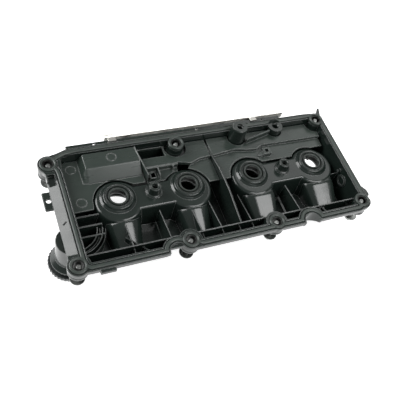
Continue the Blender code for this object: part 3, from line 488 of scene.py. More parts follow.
def gasket_path():
    """Centre line of the gasket bead, anticlockwise, round both notches."""
    path = [(GASKET_LEFT_X, -76.0), (GASKET_LEFT_X + 1.6, -81.6), (GASKET_LEFT_X + 6.0, GASKET_FRONT_Y)]
    reach = math.degrees(math.asin((GASKET_FRONT_Y - NOTCH_Y) / NOTCH_GASKET_R))
    path += arc(LEFT_NOTCH, NOTCH_GASKET_R, 180 - reach, 52, 18)
    path += [(-74.0, -77.2), (-68.0, -79.5), (-58.0, GASKET_FRONT_Y)]
    path += arc(RIGHT_NOTCH, NOTCH_GASKET_R, 180 - reach, reach, 24)
    path += [(157.0, GASKET_FRONT_Y), (166.5, -80.5), (170.6, -76.5), (GASKET_RIGHT_X, -70.0)]
    path += [(GASKET_RIGHT_X, 58.0), (169.6, 64.2), (165.0, GASKET_REAR_Y)]
    path += [(-166.0, GASKET_REAR_Y), (-180.0, 65.4), (-189.0, 61.5), (-199.0, 55.0), (-192.6, 43.0),
             (GASKET_LEFT_X, 36.0)]
    return path


def band(name, profile):
    """Closed band along the gasket path from (offset, height) points of its section."""
    loops = [at_height(offset_loop(gasket_path(), offset), z) for offset, z in profile]
    return loft(name, loops, ring=True)


def well_pair_outline(left, right, grow=0.0):
    """Plan of two round injector plates joined by a straight neck."""
    radius = PLATE_R + grow
    rear = math.degrees(math.asin((NECK_REAR_Y + grow - PLATE_Y) / radius))
    front = math.degrees(math.asin((PLATE_Y - NECK_FRONT_Y + grow) / radius))
    outline = arc((left, PLATE_Y), radius, rear, 360 - front, 44)
    outline += arc((right, PLATE_Y), radius, 180 + front, 540 - rear, 44)
    return outline


# ---- cover shell

def tub_outer():
    """Outer surface of the tub: a raked front wall and rounded edges round the roof."""
    sections = []
    for drop, inset in ((0.0, 2.2), (0.25, 1.1), (1.0, 0.3), (2.6, 0.0)):
        z = ROOF_Z + drop
        t = (z - ROOF_Z) / (FLANGE_Z - ROOF_Z)
        spread = 1.0 + 2.0 * t - inset
        front = FLOOR_FRONT_Y - 2.0 + t * (FRONT_Y - WALL - FLOOR_FRONT_Y + 2.0) + inset
        outline = box_outline(LEFT_X - spread, RIGHT_X + spread, front, REAR_Y + spread, 6.0)
        sections.append(at_height(outline, z))
    top = box_outline(LEFT_X - WALL, RIGHT_X + WALL, FRONT_Y - WALL, REAR_Y + WALL, 6.0)
    sections += [at_height(top, FLANGE_Z), at_height(top, -4.0)]
    return loft("tub", sections)


def column(middle, depth):
    """Round column under a corner bolt, with a thicker collar at its foot."""
    profile = [(COLUMN_R, -3.0), (COLUMN_R - 0.4, -depth + 3.4), (COLUMN_R + 0.2, -depth + 2.6),
               (COLUMN_R + 0.2, -depth + 0.2), (COLUMN_R - 0.4, -depth)]
    return turned("column", profile, middle, 0.5)


def notch_pocket():
    """Half-round wall of the right notch; its foot slants back under the flange."""
    pocket = disc("notch_pocket", RIGHT_NOTCH, POCKET_R, POCKET_Z - 2.0, -3.0, FINE)
    slant = [(FLANGE_FRONT_Y, -2.0), (FLANGE_FRONT_Y, FLANGE_Z - 0.5), (-75.5, POCKET_Z), (-70.0, POCKET_Z),
             (-70.0, -2.0)]
    foot = side_plate("slant", slant, *about(NOTCH_X[1], 15.0), 0.0)
    return combine(pocket, [foot], "INTERSECT")


def shell_body():
    """Everything of the shell before its hollows are cut."""
    body = prism("cover_shell", flange_outline(), FLANGE_Z, LAND_Z, 0.7, 1.0)
    neck = [(NECK_R, NECK_Z), (NECK_R, NECK_Z + 1.0), (22.0, NECK_Z + 1.0), (22.0, NECK_Z + 4.0),
            (NECK_R, NECK_Z + 10.0), (NECK_R, -12.0)]
    cup = [(CUP_R, CUP_Z), (CUP_R, ROOF_Z - 1.4), (CUP_R + 1.4, ROOF_Z + 0.3), (0, ROOF_Z + 1.0)]
    lug = [(168.0, 66.0), (175.0, 64.0), (179.5, 77.5), (177.0, 78.0)]
    side_lug = [(172.0, -72.0), (181.5, -69.6), (182.5, -67.0), (182.0, -61.0), (177.0, -53.0),
                (172.0, -53.0)]
    parts = [tub_outer(), block("lip", (-176.0, 114.0), (FLANGE_REAR_Y - 2.0, LIP_Y), (-6.0, -3.2), 0.8)]
    parts += [column(BOLT[name], COLUMN_DEPTH[name]) for name in BOLT_NAMES if name != "rear_middle"]
    parts += [notch_pocket(),
              turned("neck", neck, NECK, 0.6, FINE),
              turned("regulator_cup", cup, REGULATOR, 0.8, FINE),
              block("clip_tab", (-216.0, -205.0), (-4.0, 20.0), (-9.5, -6.5), 1.6),
              block("edge_tab", (-178.0, -160.5), (-93.5, -88.0), (-6.5, LAND_Z - 0.4), 0.8),
              prism("corner_lug", lug, -5.0, LAND_Z - 0.4, 0.6, 0.6),
              prism("side_lug", side_lug, -8.5, -3.4, 0.6, 0.6)]
    boss = [(0, 0.0), (4.8, 0.0), (5.6, 13.0), (0, 15.0)]
    parts += [on_shield(turned("shield_boss", boss, MIDDLE, segments=SMALL), x, SHIELD_Y - GAP)
              for x in SHIELD_SCREW_X]
    return add(body, parts + roof_ribs())


def roof_rib_profile(start, end, crest, runs):
    """Section along a low rib of the roof, with a run-up at each end."""
    return [(start, ROOF_Z + 1.0), (start, ROOF_Z - 1.0), (start + runs[0], crest), (end - runs[1], crest),
            (end, ROOF_Z - 1.0), (end, ROOF_Z + 1.0)]


def roof_ribs():
    """Low stiffening ribs and rims on the outer side of the roof."""
    across = roof_rib_profile(-58.5, 59.5, ROOF_Z - 2.2, (2.5, 3.5))
    ribs = [side_plate("roof_rib", across, *about(x, 0.9)) for x in (-160.0, -88.0, 14.5, 88.0, 156.0)]
    for y in (30.6, 48.0):
        for x0, x1 in ((-182.0, -66.0), (20.0, 142.0)):
            along = roof_rib_profile(x0, x1, ROOF_Z - 2.0, (2.0, 2.0))
            ribs.append(front_plate("roof_rib", along, *about(y, 0.9)))
    rim = [(WELL_R + 0.4, ROOF_Z + 1.0), (WELL_R + 0.4, ROOF_Z - 1.6), (WELL_R + 2.4, ROOF_Z - 1.6),
           (WELL_R + 2.8, ROOF_Z + 1.0)]
    ribs.append(turned("well_rim", rim, BOLT["rear_middle"], ring=True))
    return ribs


def pedestals():
    """Raised forms that stand up inside the tub: injector wells, ramps, bolt wells and bosses."""
    solids = []
    for left, right in WELL_PAIRS:
        sections = [at_height(well_pair_outline(left, right, TAPER), PEDESTAL_FOOT_Z)]
        for drop, grow in ((4.2, 0.5), (2.6, 0.0), (1.5, -0.6), (0.7, -1.5), (0.2, -2.7), (0.0, -4.0)):
            sections.append(at_height(well_pair_outline(left, right, grow), WELL_Z - drop))
        solids.append(loft("pedestal", sections))
    solids += [ramp("ramp", x, 0.0, -76.0) for x in INJECTOR_X]
    solids += [ramp_crease(INJECTOR_X[2] + 4.5), ramp_crease(INJECTOR_X[3] + 3.0),
               side_bay("bay", 16.0, PEDESTAL_FOOT_Z)]
    for name in WELL_BOLTS:
        top = 3.0 - COLUMN_DEPTH[name]
        well = [(WELL_R + 3.4, PEDESTAL_FOOT_Z), (WELL_R + 2.5, top)]
        boss = [(10.6, PEDESTAL_FOOT_Z), (10.6, top + 3.0), (9.9, top + 4.0), (9.4, 3.0)]
        solids += [turned("bolt_well", well, BOLT[name], 0.8), turned("bolt_boss", boss, BOLT[name], 0.4)]
    empty = [(11.0, PEDESTAL_FOOT_Z), (9.7, 0.2), (9.0, 1.0)]
    solids.append(turned("empty_boss", empty, EMPTY_BOSS, 0.5))
    solids += [disc("notch_wall", middle, 19.0, -16.0, 3.0) for middle in (LEFT_NOTCH, RIGHT_NOTCH)]
    solids += [disc("front_boss", BOLT[name], WELL_R + 2.3, ACCESS_Z - 4.0, 3.0)
               for name in ("front_left", "front_right", "left_front")]
    return solids + [disc("corner_boss", BOLT["left_rear"], 15.0, PEDESTAL_FOOT_Z, 3.0)]


def ramp(name, x, inset, front):
    """Hump from an injector plate down to the front wall; inset makes its hollow.

    The two humps on the right have a flat shoulder on their right side.
    """
    sections = []
    steps = 24
    run = RAMP_Y - front
    shoulder = 0.45 if x > 0.0 else 1.0
    arch = 9.0 if x > 0.0 else 14.0
    for y, half, crest in ((RAMP_Y + 16.0, 21.0, WELL_Z - 0.6), (RAMP_Y, 20.0, WELL_Z - 1.4),
                           (front, 20.0 - 0.12 * run, WELL_Z - 1.4 - RAMP_SLOPE * run)):
        spring = crest - arch
        section = [(x - half + inset, y, RAMP_FOOT_Z), (x + half - inset, y, RAMP_FOOT_Z)]
        for i in range(steps + 1):
            angle = math.pi * i / steps
            power = shoulder if 2 * i < steps else 1.0
            across = math.copysign(abs(math.cos(angle)) ** power, math.cos(angle))
            rise = abs(math.sin(angle)) ** power
            section.append((x + (half - inset) * across, y, spring - inset + (crest - spring) * rise))
        sections.append(section)
    return loft(name, sections)


def ramp_crease(x):
    """Thin ridge down the crest of a hump."""
    sections = []
    for y, run in ((RAMP_Y + 6.0, 0.0), (-74.0, 40.0)):
        crest = WELL_Z - 1.4 - RAMP_SLOPE * run
        sections.append([(x - 1.2, y, crest - 6.0), (x + 1.2, y, crest - 6.0), (x + 0.9, y, crest + 0.5),
                         (x + 0.4, y, crest + 1.1), (x - 0.4, y, crest + 1.1), (x - 0.9, y, crest + 0.5)])
    return loft("ramp_crease", sections)


def side_bay(name, radius, low):
    """Slanting round bay that opens the last well towards the right rear of the roof."""
    top = arc((INJECTOR_X[3] + 2.0, 1.0), radius, 0, 352, 44)
    foot = arc((INJECTOR_X[3] + 17.0, 16.0), radius, 0, 352, 44)
    return loft(name, [at_height(foot, low), at_height(foot, ROOF_Z), at_height(top, WELL_Z - WALL)])


def tub_hollow():
    """The inside of the tub, less every form that stands up in it."""
    sections = []
    for rise, inset in ((0.0, 2.4), (0.3, 1.2), (1.1, 0.3), (2.8, 0.0)):
        z = FLOOR_Z + rise
        t = (z - FLOOR_Z) / (FLANGE_Z - FLOOR_Z)
        margin = 2.0 * (1.0 - t) + inset
        front = FLOOR_FRONT_Y + t * (FRONT_Y - FLOOR_FRONT_Y) + inset
        outline = box_outline(LEFT_X + margin, RIGHT_X - margin, front, REAR_Y - margin, 5.0)
        sections.append(at_height(outline, z))
    upper = box_outline(LEFT_X, RIGHT_X, FRONT_Y, REAR_Y, 5.0)
    sections += [at_height(upper, FLANGE_Z), at_height(upper, 2.0)]
    return cut(loft("tub_hollow", sections), pedestals())


def troughs():
    """Open hollows under the wells, reached from outside, for injectors and their pipes."""
    opening = (ROOF_Z - 4.0, FLOOR_Z + 2.0)
    solids = []
    for left, right in WELL_PAIRS:
        lower = at_height(well_pair_outline(left, right, TAPER - WALL), FLOOR_Z)
        upper = at_height(well_pair_outline(left, right, -WALL), WELL_Z - WALL)
        solids.append(loft("trough", [lower, upper]))
    solids += [ramp("trough_ramp", x, WALL, -100.0) for x in INJECTOR_X]
    solids.append(side_bay("trough_bay", 13.0, opening[0]))
    solids += [disc("roof_opening", (x + 2.5, -1.0), 25.0, *opening, FINE) for x in INJECTOR_X[::3]]
    solids += [prism("roof_opening", box_outline(*about(x, 16.0), -30.0, 10.0, 4.0), *opening)
               for x in INJECTOR_X[1:3]]
    return solids


def bores():
    """Round holes and pockets for bolts, sleeves, grommets, filler, regulator and breather."""
    solids = []
    for name in BOLT_NAMES:
        end = -COLUMN_DEPTH[name]
        foot = ROOF_Z - 3.0 if name in WELL_BOLTS else ACCESS_Z
        steps = [(GROMMET_R + GAP, end + 4.0), (SLEEVE_R[1] + GAP, 2.0)]
        solids += [stepped("bolt_bore", BOLT[name], end - 2.0, steps),
                   disc("bolt_access", BOLT[name], WELL_R, foot, end)]
    empty = [(4.2, -30.0), (4.2, -3.0), (5.0, -2.2), (5.6, 3.0)]
    outlet = disc("outlet_port", MIDDLE, PIPE_R + GAP, 0.0, 30.0)
    solids += [lathe("empty_bore", empty, EMPTY_BOSS),
               disc("filler_bore", NECK, NECK_BORE_R, NECK_Z - 2.0, -24.0, FINE),
               disc("regulator_bore", REGULATOR, CUP_R - WALL, CUP_Z - 2.0, SPRING_SEAT_Z, FINE),
               turn_to(outlet, (*REGULATOR, PIPE_Z), (0.0, 90.0, 0.0))]
    solids += [on_shield(disc("screw_bore", MIDDLE, 2.3, 0.0, 14.0, SMALL), x, SHIELD_Y + 1.0)
               for x in SHIELD_SCREW_X]
    solids += [disc("lip_hole", (x, 74.0), 1.8, -8.0, 0.0, SMALL) for x in (-142.0, -8.0, 87.0)]
    solids += [prism("lip_slot", box_outline(*span, *SLOT_Y, 0.6), -8.0, 0.0) for span in SLOT_X]
    front = block("notch_front", about(NOTCH_X[1], 20.0), (-105.0, FLANGE_FRONT_Y - 0.1), (-30.0, 2.0))
    slope = [(-209.5, -6.0), (-195.8, -1.2), (-195.8, 2.0), (-209.5, 2.0)]
    slit = block("ledge_slit", (-2.4, 2.4), (-0.7, 0.7), (-8.0, 2.0))
    solids += [disc("notch_bore", RIGHT_NOTCH, NOTCH_R + GAP, -30.0, 2.0),
               front,
               disc("clip_hole", (-210.0, 8.0), 3.0, -12.0, -4.0, SMALL),
               prism("ledge_pocket", box_outline(-205.2, -197.2, 24.0, 39.0, 1.0), -6.0, 2.0),
               front_plate("sloped_ledge", slope, -66.0, 30.0, 0.0),
               turn_to(slit, (-200.0, -26.0, 0.0), (0.0, 0.0, 35.0))]
    return solids


def groove():
    """Groove for the gasket and its eyelets, cut into the flange's land."""
    half = GASKET_HALF + GASKET_ROOM
    foot = -GASKET_DEPTH - GAP
    side = [(half, foot), (half, LAND_Z - 0.3), (half + 0.4, LAND_Z + 0.1), (half + 0.4, 2.0)]
    section = [(-half, foot)] + side + [(-offset, z) for offset, z in side[:0:-1]]
    pads = [disc("groove_pad", middle, PAD_R + GASKET_ROOM, foot, 2.5) for middle in BOLT.values()]
    return [band("groove", section)] + pads


def curved_rib(radius, top):
    """Thin upright rib that follows an arc at the left end of the tub."""
    middle = (-192.0, -26.0)
    outline = arc(middle, radius + 0.6, -84.0, -8.0, 20) + arc(middle, radius - 0.6, -8.0, -84.0, 20)
    return prism("curved_rib", outline, RIB_FOOT_Z, top, 0.4)


def inner_ribs():
    """Ribs, seats and small details that are joined to the hollow shell."""
    divider = [(REAR_Y + 1.0, -14.5), (10.0, -3.0), (-22.0, -2.5), (-68.0, -9.0), (-68.0, -33.5),
               (-62.2, RIB_FOOT_Z), (REAR_Y - 1.0, RIB_FOOT_Z)]
    front_rib = box_outline(LEFT_X - 1.0, RIGHT_X + 1.0, -6.5, -33.5)
    cross_rib = [(-24.0, -17.0), (-68.1, -10.0), (-68.1, -33.6), (-63.5, -42.0), (-24.0, -42.0)]
    edge_rib = [(-68.0, -12.0), (-79.0, -12.0), (-75.0, -20.0), (-68.0, -31.0)]
    left_rib = box_outline(LEFT_X - 1.0, -158.0, -17.0, RIB_FOOT_Z)
    side_rib = [(153.0, RIB_FOOT_Z), (RIGHT_X + 1.0, RIB_FOOT_Z), (RIGHT_X + 1.0, -17.0), (153.0, -19.0)]
    ribs = [side_plate("divider", divider, -1.1, 1.1, 0.5),
            front_plate("front_rib", front_rib, -68.8, -67.4)]
    ribs += [side_plate("cross_rib", cross_rib, *about(x, 0.7))
             for x in (-133.0, -88.0, -50.0, -25.0, 14.5, 83.0)]
    ribs += [side_plate("edge_rib", edge_rib, *about(x, 0.7))
             for x in (-133.0, -50.0, -25.0, -3.0, 14.5, 116.0)]
    ribs += [front_plate("left_rib", left_rib, *about(y, 0.8)) for y in (-14.0, -27.0, -40.0)]
    ribs += [curved_rib(28.0, -18.0), curved_rib(31.0, -21.0), curved_rib(34.0, -18.0),
             curved_rib(37.5, -22.0)]
    ribs.append(front_plate("side_rib", side_rib, -20.6, -19.4))
    return ribs + inner_seats() + small_details()


def inner_seats():
    """Round seats for the side port, the clamp bolts, the injector seals, the stud and the valve."""
    port = turned("port_ring", [(5.6, 0.0), (8.2, 0.0), (7.6, 3.2), (5.9, 3.2)], MIDDLE, ring=True)
    clamp = [(10.0, -20.0), (10.0, -12.0), (8.2, -11.4), (8.0, -10.4), (7.0, -1.8)]
    collar = [(SEAL_R + GAP + 2.6, TUBE_Z), (22.4, WELL_Z - 1.0), (21.0, WELL_Z + 0.4),
              (19.0, WELL_Z + 1.9), (17.6, SEAL_TOP_Z - 0.6), (16.6, SEAL_TOP_Z - 0.2)]
    post = [(12.5, RIB_FOOT_Z), (11.6, -12.0), (10.0, 10.5), (9.3, 12.0)]
    seats = [turn_to(port, (RIGHT_X + 0.6, -33.0, -19.0), (0.0, -90.0, 0.0))]
    seats += [turned("clamp_seat", clamp, (x, 0.0), 0.5) for x in CLAMP_X]
    seats += [turned("seal_collar", collar, (x, 0.0), 0.4, FINE) for x in INJECTOR_X]
    return seats + [turned("stud_post", post, STUD_POST, 0.5),
                    disc("seat_tube", REGULATOR, 7.5, SEAT_Z, RIB_FOOT_Z)]


def web(name, places, width=1.4):
    """Thin upright web through (x, y, foot, top) places in a row."""
    start, end = (Vector(places[i][:2]) for i in (0, -1))
    along = (end - start).normalized()
    side = Vector((-along.y, along.x)) * (width / 2.0)
    sections = []
    for x, y, foot, top in places:
        sections.append([(x - side.x, y - side.y, foot), (x + side.x, y + side.y, foot),
                         (x + side.x, y + side.y, top), (x - side.x, y - side.y, top)])
    return loft(name, sections)


def small_details():
    """Gussets in the front bay and the pin of the end wall."""
    long_gusset = [(-137.5, -51.5, RIB_FOOT_Z, -15.0), (-129.5, -61.0, RIB_FOOT_Z, -13.5),
                   (-115.0, -78.0, -14.0, -11.0)]
    parts = [web("gusset", long_gusset)]
    for x, apex in ((104.0, 110.0), (116.5, 110.5)):
        parts.append(web("gusset", [(apex, -67.5, -24.0, -9.0), (x, -78.3, -13.5, -9.0)], 1.2))
    pin = turned("wall_pin", [(2.4, 0.0), (2.2, 5.0), (0, 5.2)], MIDDLE, 0.5, SMALL)
    return parts + [turn_to(pin, (RIGHT_X + 0.6, -21.0, -12.0), (0.0, -90.0, 0.0))]


def final_holes():
    """Holes that pass through the ribs and seats as well."""
    tube_r = INJECTOR_R + 2.6
    seal_r = SEAL_R + GAP
    injector = [(tube_r, TUBE_Z - 2.0), (tube_r, CASE_Z - GAP), (seal_r, CASE_Z - GAP),
                (seal_r, SEAL_TOP_Z - 0.8), (seal_r + 0.6, SEAL_TOP_Z + 0.1), (seal_r + 0.6, 2.0)]
    stud = [(3.6, -2.0), (3.6, 9.0), (4.6, 9.4), (4.6, 14.0)]
    holes = [lathe("injector_bore", injector, (x, 0.0), FINE) for x in INJECTOR_X]
    holes += [stepped("clamp_bore", (x, 0.0), -24.0, [(CLAMP_HOLE_R, -6.0), (5.6, 2.0)]) for x in CLAMP_X]
    return holes + [lathe("stud_bore", stud, STUD_POST),
                    disc("outlet_bore", REGULATOR, 5.6, SEAT_Z - 2.0, -40.0)]


def cover_shell():
    shell = shell_body()
    cut(shell, [tub_hollow()])
    cut(shell, troughs())
    add(shell, inner_ribs())
    cut(shell, groove() + bores() + final_holes())
    return shell


# ---- gasket and baffles

def perimeter_gasket():
    """Rounded rubber bead with an eyelet and a raised sealing ring round each bolt."""
    half = GASKET_HALF
    crown = [(half, -1.3), (half - 0.3, -0.65), (half - 0.9, -0.2), (half - 1.7, 0.0)]
    section = [(-half, -GASKET_DEPTH), (half, -GASKET_DEPTH)] + crown
    section += [(-offset, z) for offset, z in reversed(crown)]
    gasket = band("gasket", section)
    pad = [(PAD_R, 0.1 - GASKET_DEPTH), (PAD_R, -0.1), (9.5, 0.1), (9.1, 0.7), (8.0, 0.7), (7.6, 0.1)]
    add(gasket, [turned("pad", pad, middle, 0.35) for middle in BOLT.values()])
    inner = SLEEVE_R[1] + GAP
    hole = [(inner, -6.0), (inner, -0.2), (inner + 0.5, 0.2), (inner + 0.5, 2.0)]
    holes = [lathe("pad_hole", hole, middle) for middle in BOLT.values()]
    holes.append(disc("boss_gap", EMPTY_BOSS, 9.9, -6.0, 2.0))
    return cut(gasket, holes)


def well_arc(number, gap, start, end, count):
    """Points round the plate of an injector, at a distance from it."""
    return arc((INJECTOR_X[number - 1], PLATE_Y), PLATE_R + gap, start, end, count)


def plate_cutouts():
    """Clearances that the baffles leave round the bolt wells, the boss and the post."""
    places = [(BOLT[name], WELL_R + 2.5 + GAP) for name in WELL_BOLTS]
    places += [(EMPTY_BOSS, 11.3), (STUD_POST, 12.8), (BOLT["left_rear"], 15.3)]
    return [disc("gap", middle, radius, *THROUGH) for middle, radius in places]


def strip(name, path, width, bottom, top, soft=0.3):
    """Thin upright wall that follows an open path in plan."""
    points = [Vector(point) for point in path]
    left, right = [], []
    for i, point in enumerate(points):
        along = (points[min(i + 1, len(points) - 1)] - points[max(i - 1, 0)]).normalized()
        side = Vector((-along.y, along.x)) * (width / 2.0)
        left.append(tuple(point + side))
        right.append(tuple(point - side))
    return prism(name, right + left[::-1], bottom, top, soft)


def ejector_mark(place, radius, z):
    """Shallow round groove that an ejector pin leaves in a moulded face."""
    section = box_outline(radius - 0.35, radius + 0.35, z - 0.35, z + 1.0)
    return lathe("ejector_mark", section, place, ring=True)


def separator_plate_left():
    """Baffle over the left chamber: a low sheet and a raised box that is open below."""
    low = LOW_Z - 1.0
    outline = [(LEFT_X + EDGE_GAP, -9.0), (-162.5, -9.0)]
    outline += well_arc(1, 1.5, 178, 60, 28)
    outline += [(-108.0, 15.4), (-93.2, 15.4), (-93.2, EDGE_Y), (LEFT_X + 6.0, EDGE_Y),
                (LEFT_X + EDGE_GAP, EDGE_Y - 5.0)]
    plate = prism("plate", soften(outline, 1.2), LOW_Z - BAFFLE_SHEET, LOW_Z, 0.5)
    tall = soften([(EDGE_Y, low), (EDGE_Y, -2.6), (40.0, -2.6), (25.5, LOW_Z + 1.0), (25.5, low)], 1.4)
    flat = [(EDGE_Y, low), (EDGE_Y, LOW_Z + 0.4), (36.0, LOW_Z + 0.4), (27.0, LOW_Z + 0.2), (27.0, low)]
    reach = len(tall) // len(flat)
    flat = [point for point in flat for i in range(reach)] + [flat[-1]] * (len(tall) - reach * len(flat))
    spans = ((-166.0, flat), (-160.4, offset_loop(tall, -0.5)), (-159.0, tall), (-94.8, tall),
             (-94.0, offset_loop(tall, -0.8)))
    box = loft("box", [[(x, y, z) for y, z in section] for x, section in spans])
    rim_path = [(-95.4, EDGE_Y - 0.4), (-93.6, 44.0), (-92.0, 30.0), (-90.6, 17.0)]
    rim = strip("box_rim", rim_path, 1.3, low, -2.0, 0.5)
    add(plate, [box])
    inside = [(EDGE_Y - 2.0, LOW_Z - 4.0), (EDGE_Y - 2.0, -4.8), (39.2, -4.8), (28.0, LOW_Z - 1.5),
              (28.0, LOW_Z - 4.0)]
    tools = [side_plate("hollow", inside, -157.5, -96.0)] + plate_cutouts()
    tools += [ejector_mark(place, 5.6, z)
              for place, z in (((-174.0, 2.0), LOW_Z), ((-175.5, 49.0), LOW_Z), ((-127.0, 51.0), -2.6))]
    cut(plate, tools)
    return add(plate, [rim])


def stepped_plate(high, low, ridge):
    """Baffle of a high rear sheet and a low front sheet that meet in a step with a raised lip."""
    plate = prism("plate", soften(high, 0.8), LOW_Z - 0.8, HIGH_Z, 0.5)
    lip = strip("ridge", [(x, y + 0.7) for x, y in ridge], 1.7, HIGH_Z - 1.0, HIGH_Z + 1.2, 0.7)
    add(plate, [prism("low", low, LOW_Z - BAFFLE_SHEET, LOW_Z, 0.3), lip])
    return cut(plate, plate_cutouts())


def separator_plate_middle():
    """Baffle over the middle chamber, with a sunk shelf and a drain opening."""
    upper = HIGH_Z - 1.0
    step = [(-92.8, 33.0), (-46.0, 33.0), (-30.0, 28.5), (-16.0, 33.5), (-1.5, 34.5)]
    high = step + [(-1.5, EDGE_Y), (-92.8, EDGE_Y)]
    low = well_arc(2, 1.5, 72, 8, 24)
    low += [(-1.5, 0.0), (-1.5, 37.0), (-18.0, 36.0), (-29.0, 31.0)]
    plate = stepped_plate(high, low, step[1:])
    shelf = [(-90.0, 15.6), (-67.0, 16.2)] + well_arc(2, 2.4, 134, 96, 14)
    shelf += [(-46.5, 33.4), (-90.0, 33.4)]
    extras = [prism("shelf", shelf, SHELF_Z - BAFFLE_SHEET, SHELF_Z, 0.3),
              block("shelf_wall", (-90.0, -46.5), (31.6, 33.4), (SHELF_Z - 1.0, upper))]
    for x, y in ((-73.0, 17.5), (-53.0, 26.0)):
        stay = [(y, SHELF_Z - 1.0), (32.5, SHELF_Z - 1.0), (32.5, HIGH_Z - 1.2), (y + 4.0, HIGH_Z - 1.2)]
        extras.append(side_plate("stay", stay, *about(x, 0.8)))
    extras.append(block("latch", (-87.0, -79.0), (17.0, 26.0), (SHELF_Z - 1.0, upper), 0.6))
    add(plate, extras)
    return cut(plate, [block("drain", (-91.4, -59.0), (46.0, 60.2), (LOW_Z - 4.0, HIGH_Z + 2.0)),
                       block("latch_hole", (-85.0, -81.0), (19.0, 23.0), (SHELF_Z - 4.0, HIGH_Z + 2.0))])


def separator_plate_right():
    """Baffle over the right chamber, with a slanting rail, a latch and lips round two wells."""
    low_z = LOW_Z - 1.0
    right = RIGHT_X - EDGE_GAP - 2.0
    step = [(1.5, 34.5), (34.0, 38.0), (49.0, 35.0), (64.0, 33.0), (73.0, 38.0), (163.0, 37.0)]
    high = step + [(right, 39.0), (right, EDGE_Y), (1.5, EDGE_Y)]
    low = [(1.5, 0.0)] + well_arc(3, 1.5, 172, 48, 30) + [(66.0, 15.4), (110.0, 15.4)]
    low += well_arc(4, 1.5, 126, 70, 16) + [(162.0, 24.0), (162.0, 39.5), (1.5, 39.5)]
    plate = stepped_plate(high, low, step)
    extras = [block("latch", (70.5, 81.0), (21.5, 32.0), (low_z, LOW_Z + 6.5), 0.6),
              strip("rail", [(52.5, 45.6), (90.3, 54.4)], 2.2, HIGH_Z - 1.0, HIGH_Z + 8.0, 0.5),
              prism("gusset", [(61.5, 22.5), (71.5, 22.5), (71.5, 31.0)], low_z, LOW_Z + 3.4, 0.3)]
    extras += [strip("arc_lip", path, 1.0, low_z, LOW_Z + 1.1)
               for path in (well_arc(3, 2.3, 165, 52, 28), well_arc(4, 2.3, 122, 72, 14))]
    add(plate, extras)
    ticks = [block("tick", about(x, 0.7), (33.0, 40.5), (HIGH_Z, HIGH_Z + 3.0))
             for x in (20.0, 93.0, 128.0)]
    hole = block("latch_hole", (73.2, 78.2), (24.5, 29.5), (LOW_Z - 4.0, LOW_Z + 8.0))
    return cut(plate, ticks + [hole])


# ---- seals

def injector_seal(x):
    """Rubber seal with an inner lip, pressed in the well from the valve side."""
    top = SEAL_TOP_Z
    profile = [(INJECTOR_R, top - 1.6), (9.9, top - 0.2), (11.7, top), (12.1, top - 3.0), (13.5, top - 3.0),
               (13.9, top - 0.2), (SEAL_R, top - 0.4), (SEAL_R, top - 7.4), (12.6, top - 7.4),
               (12.6, top - 4.0), (10.6, top - 3.4)]
    return turned("seal", profile, (x, 0.0), 0.35, FINE, ring=True)


def injector_seal_case(x):
    """Steel ring that keeps the seal round, with a lip turned in at its foot."""
    top = SEAL_TOP_Z - 7.4 - GAP
    profile = [(SEAL_R, top), (SEAL_R, CASE_Z), (12.2, CASE_Z), (12.2, CASE_Z + 1.2), (13.5, CASE_Z + 1.2),
               (13.5, top)]
    return turned("case", profile, (x, 0.0), 0.5, FINE, ring=True)


def clamp_bolt_seal(x):
    profile = [(3.4, -5.7), (5.3, -5.7), (5.3, -1.5), (4.6, -1.0), (3.4, -2.0)]
    return turned("clamp_seal", profile, (x, 0.0), 0.3, ring=True)


# ---- captive bolts

def washer_top(name):
    return top_of(f"bolt_washer_{name}")


def bolt_sleeve(name):
    """Rolled steel sleeve with its closed seam."""
    low = -COLUMN_DEPTH[name] - 2.0
    sleeve = turned("sleeve", box_outline(*SLEEVE_R, low, -1.2), BOLT[name], 0.3, ring=True)
    x, y = BOLT[name]
    across = (x + SLEEVE_R[0] - 1.0, x + SLEEVE_R[1] + 1.0)
    return cut(sleeve, [block("seam", across, about(y, 0.12), (low - 1.0, 0.0))])


def bolt_grommet(name):
    """Rubber bush in the foot of the column, with a rounded flange below it."""
    inner = SLEEVE_R[1] + GAP
    depth = COLUMN_DEPTH[name]
    profile = [(inner, -depth - 1.6), (10.2, -depth - 1.6), (10.2, -depth - GAP), (GROMMET_R, -depth - GAP),
               (GROMMET_R, -depth + 3.7), (inner, -depth + 3.7)]
    return turned("grommet", profile, BOLT[name], 0.6, ring=True)


def bolt_washer(name):
    top = washer_top(name)
    return turned("washer", box_outline(BOLT_R + 0.4, 8.6, top - 1.2, top), BOLT[name], 0.25, ring=True)


def threaded(name, radius, pitch, low, high, axis):
    """Bolt shank with a helical thread over its whole length and closed ends."""
    segments = 32
    rows_per_turn = 6
    rows = int((high - low) / pitch * rows_per_turn)
    rings = []
    for row in range(rows + 1):
        z = low + (high - low) * row / rows
        lead = min(1.0, (high - z) / 0.9 + 0.15)
        ring = []
        for i in range(segments):
            wave = abs(2.0 * ((z / pitch - i / segments) % 1.0) - 1.0)
            r = (radius - 0.61 * pitch * (1.0 - wave)) * (0.8 + 0.2 * lead)
            angle = 2.0 * math.pi * (i / segments)
            ring.append((r * math.cos(angle), r * math.sin(angle), z))
        rings.append(ring)
    return loft(name, rings, axis)


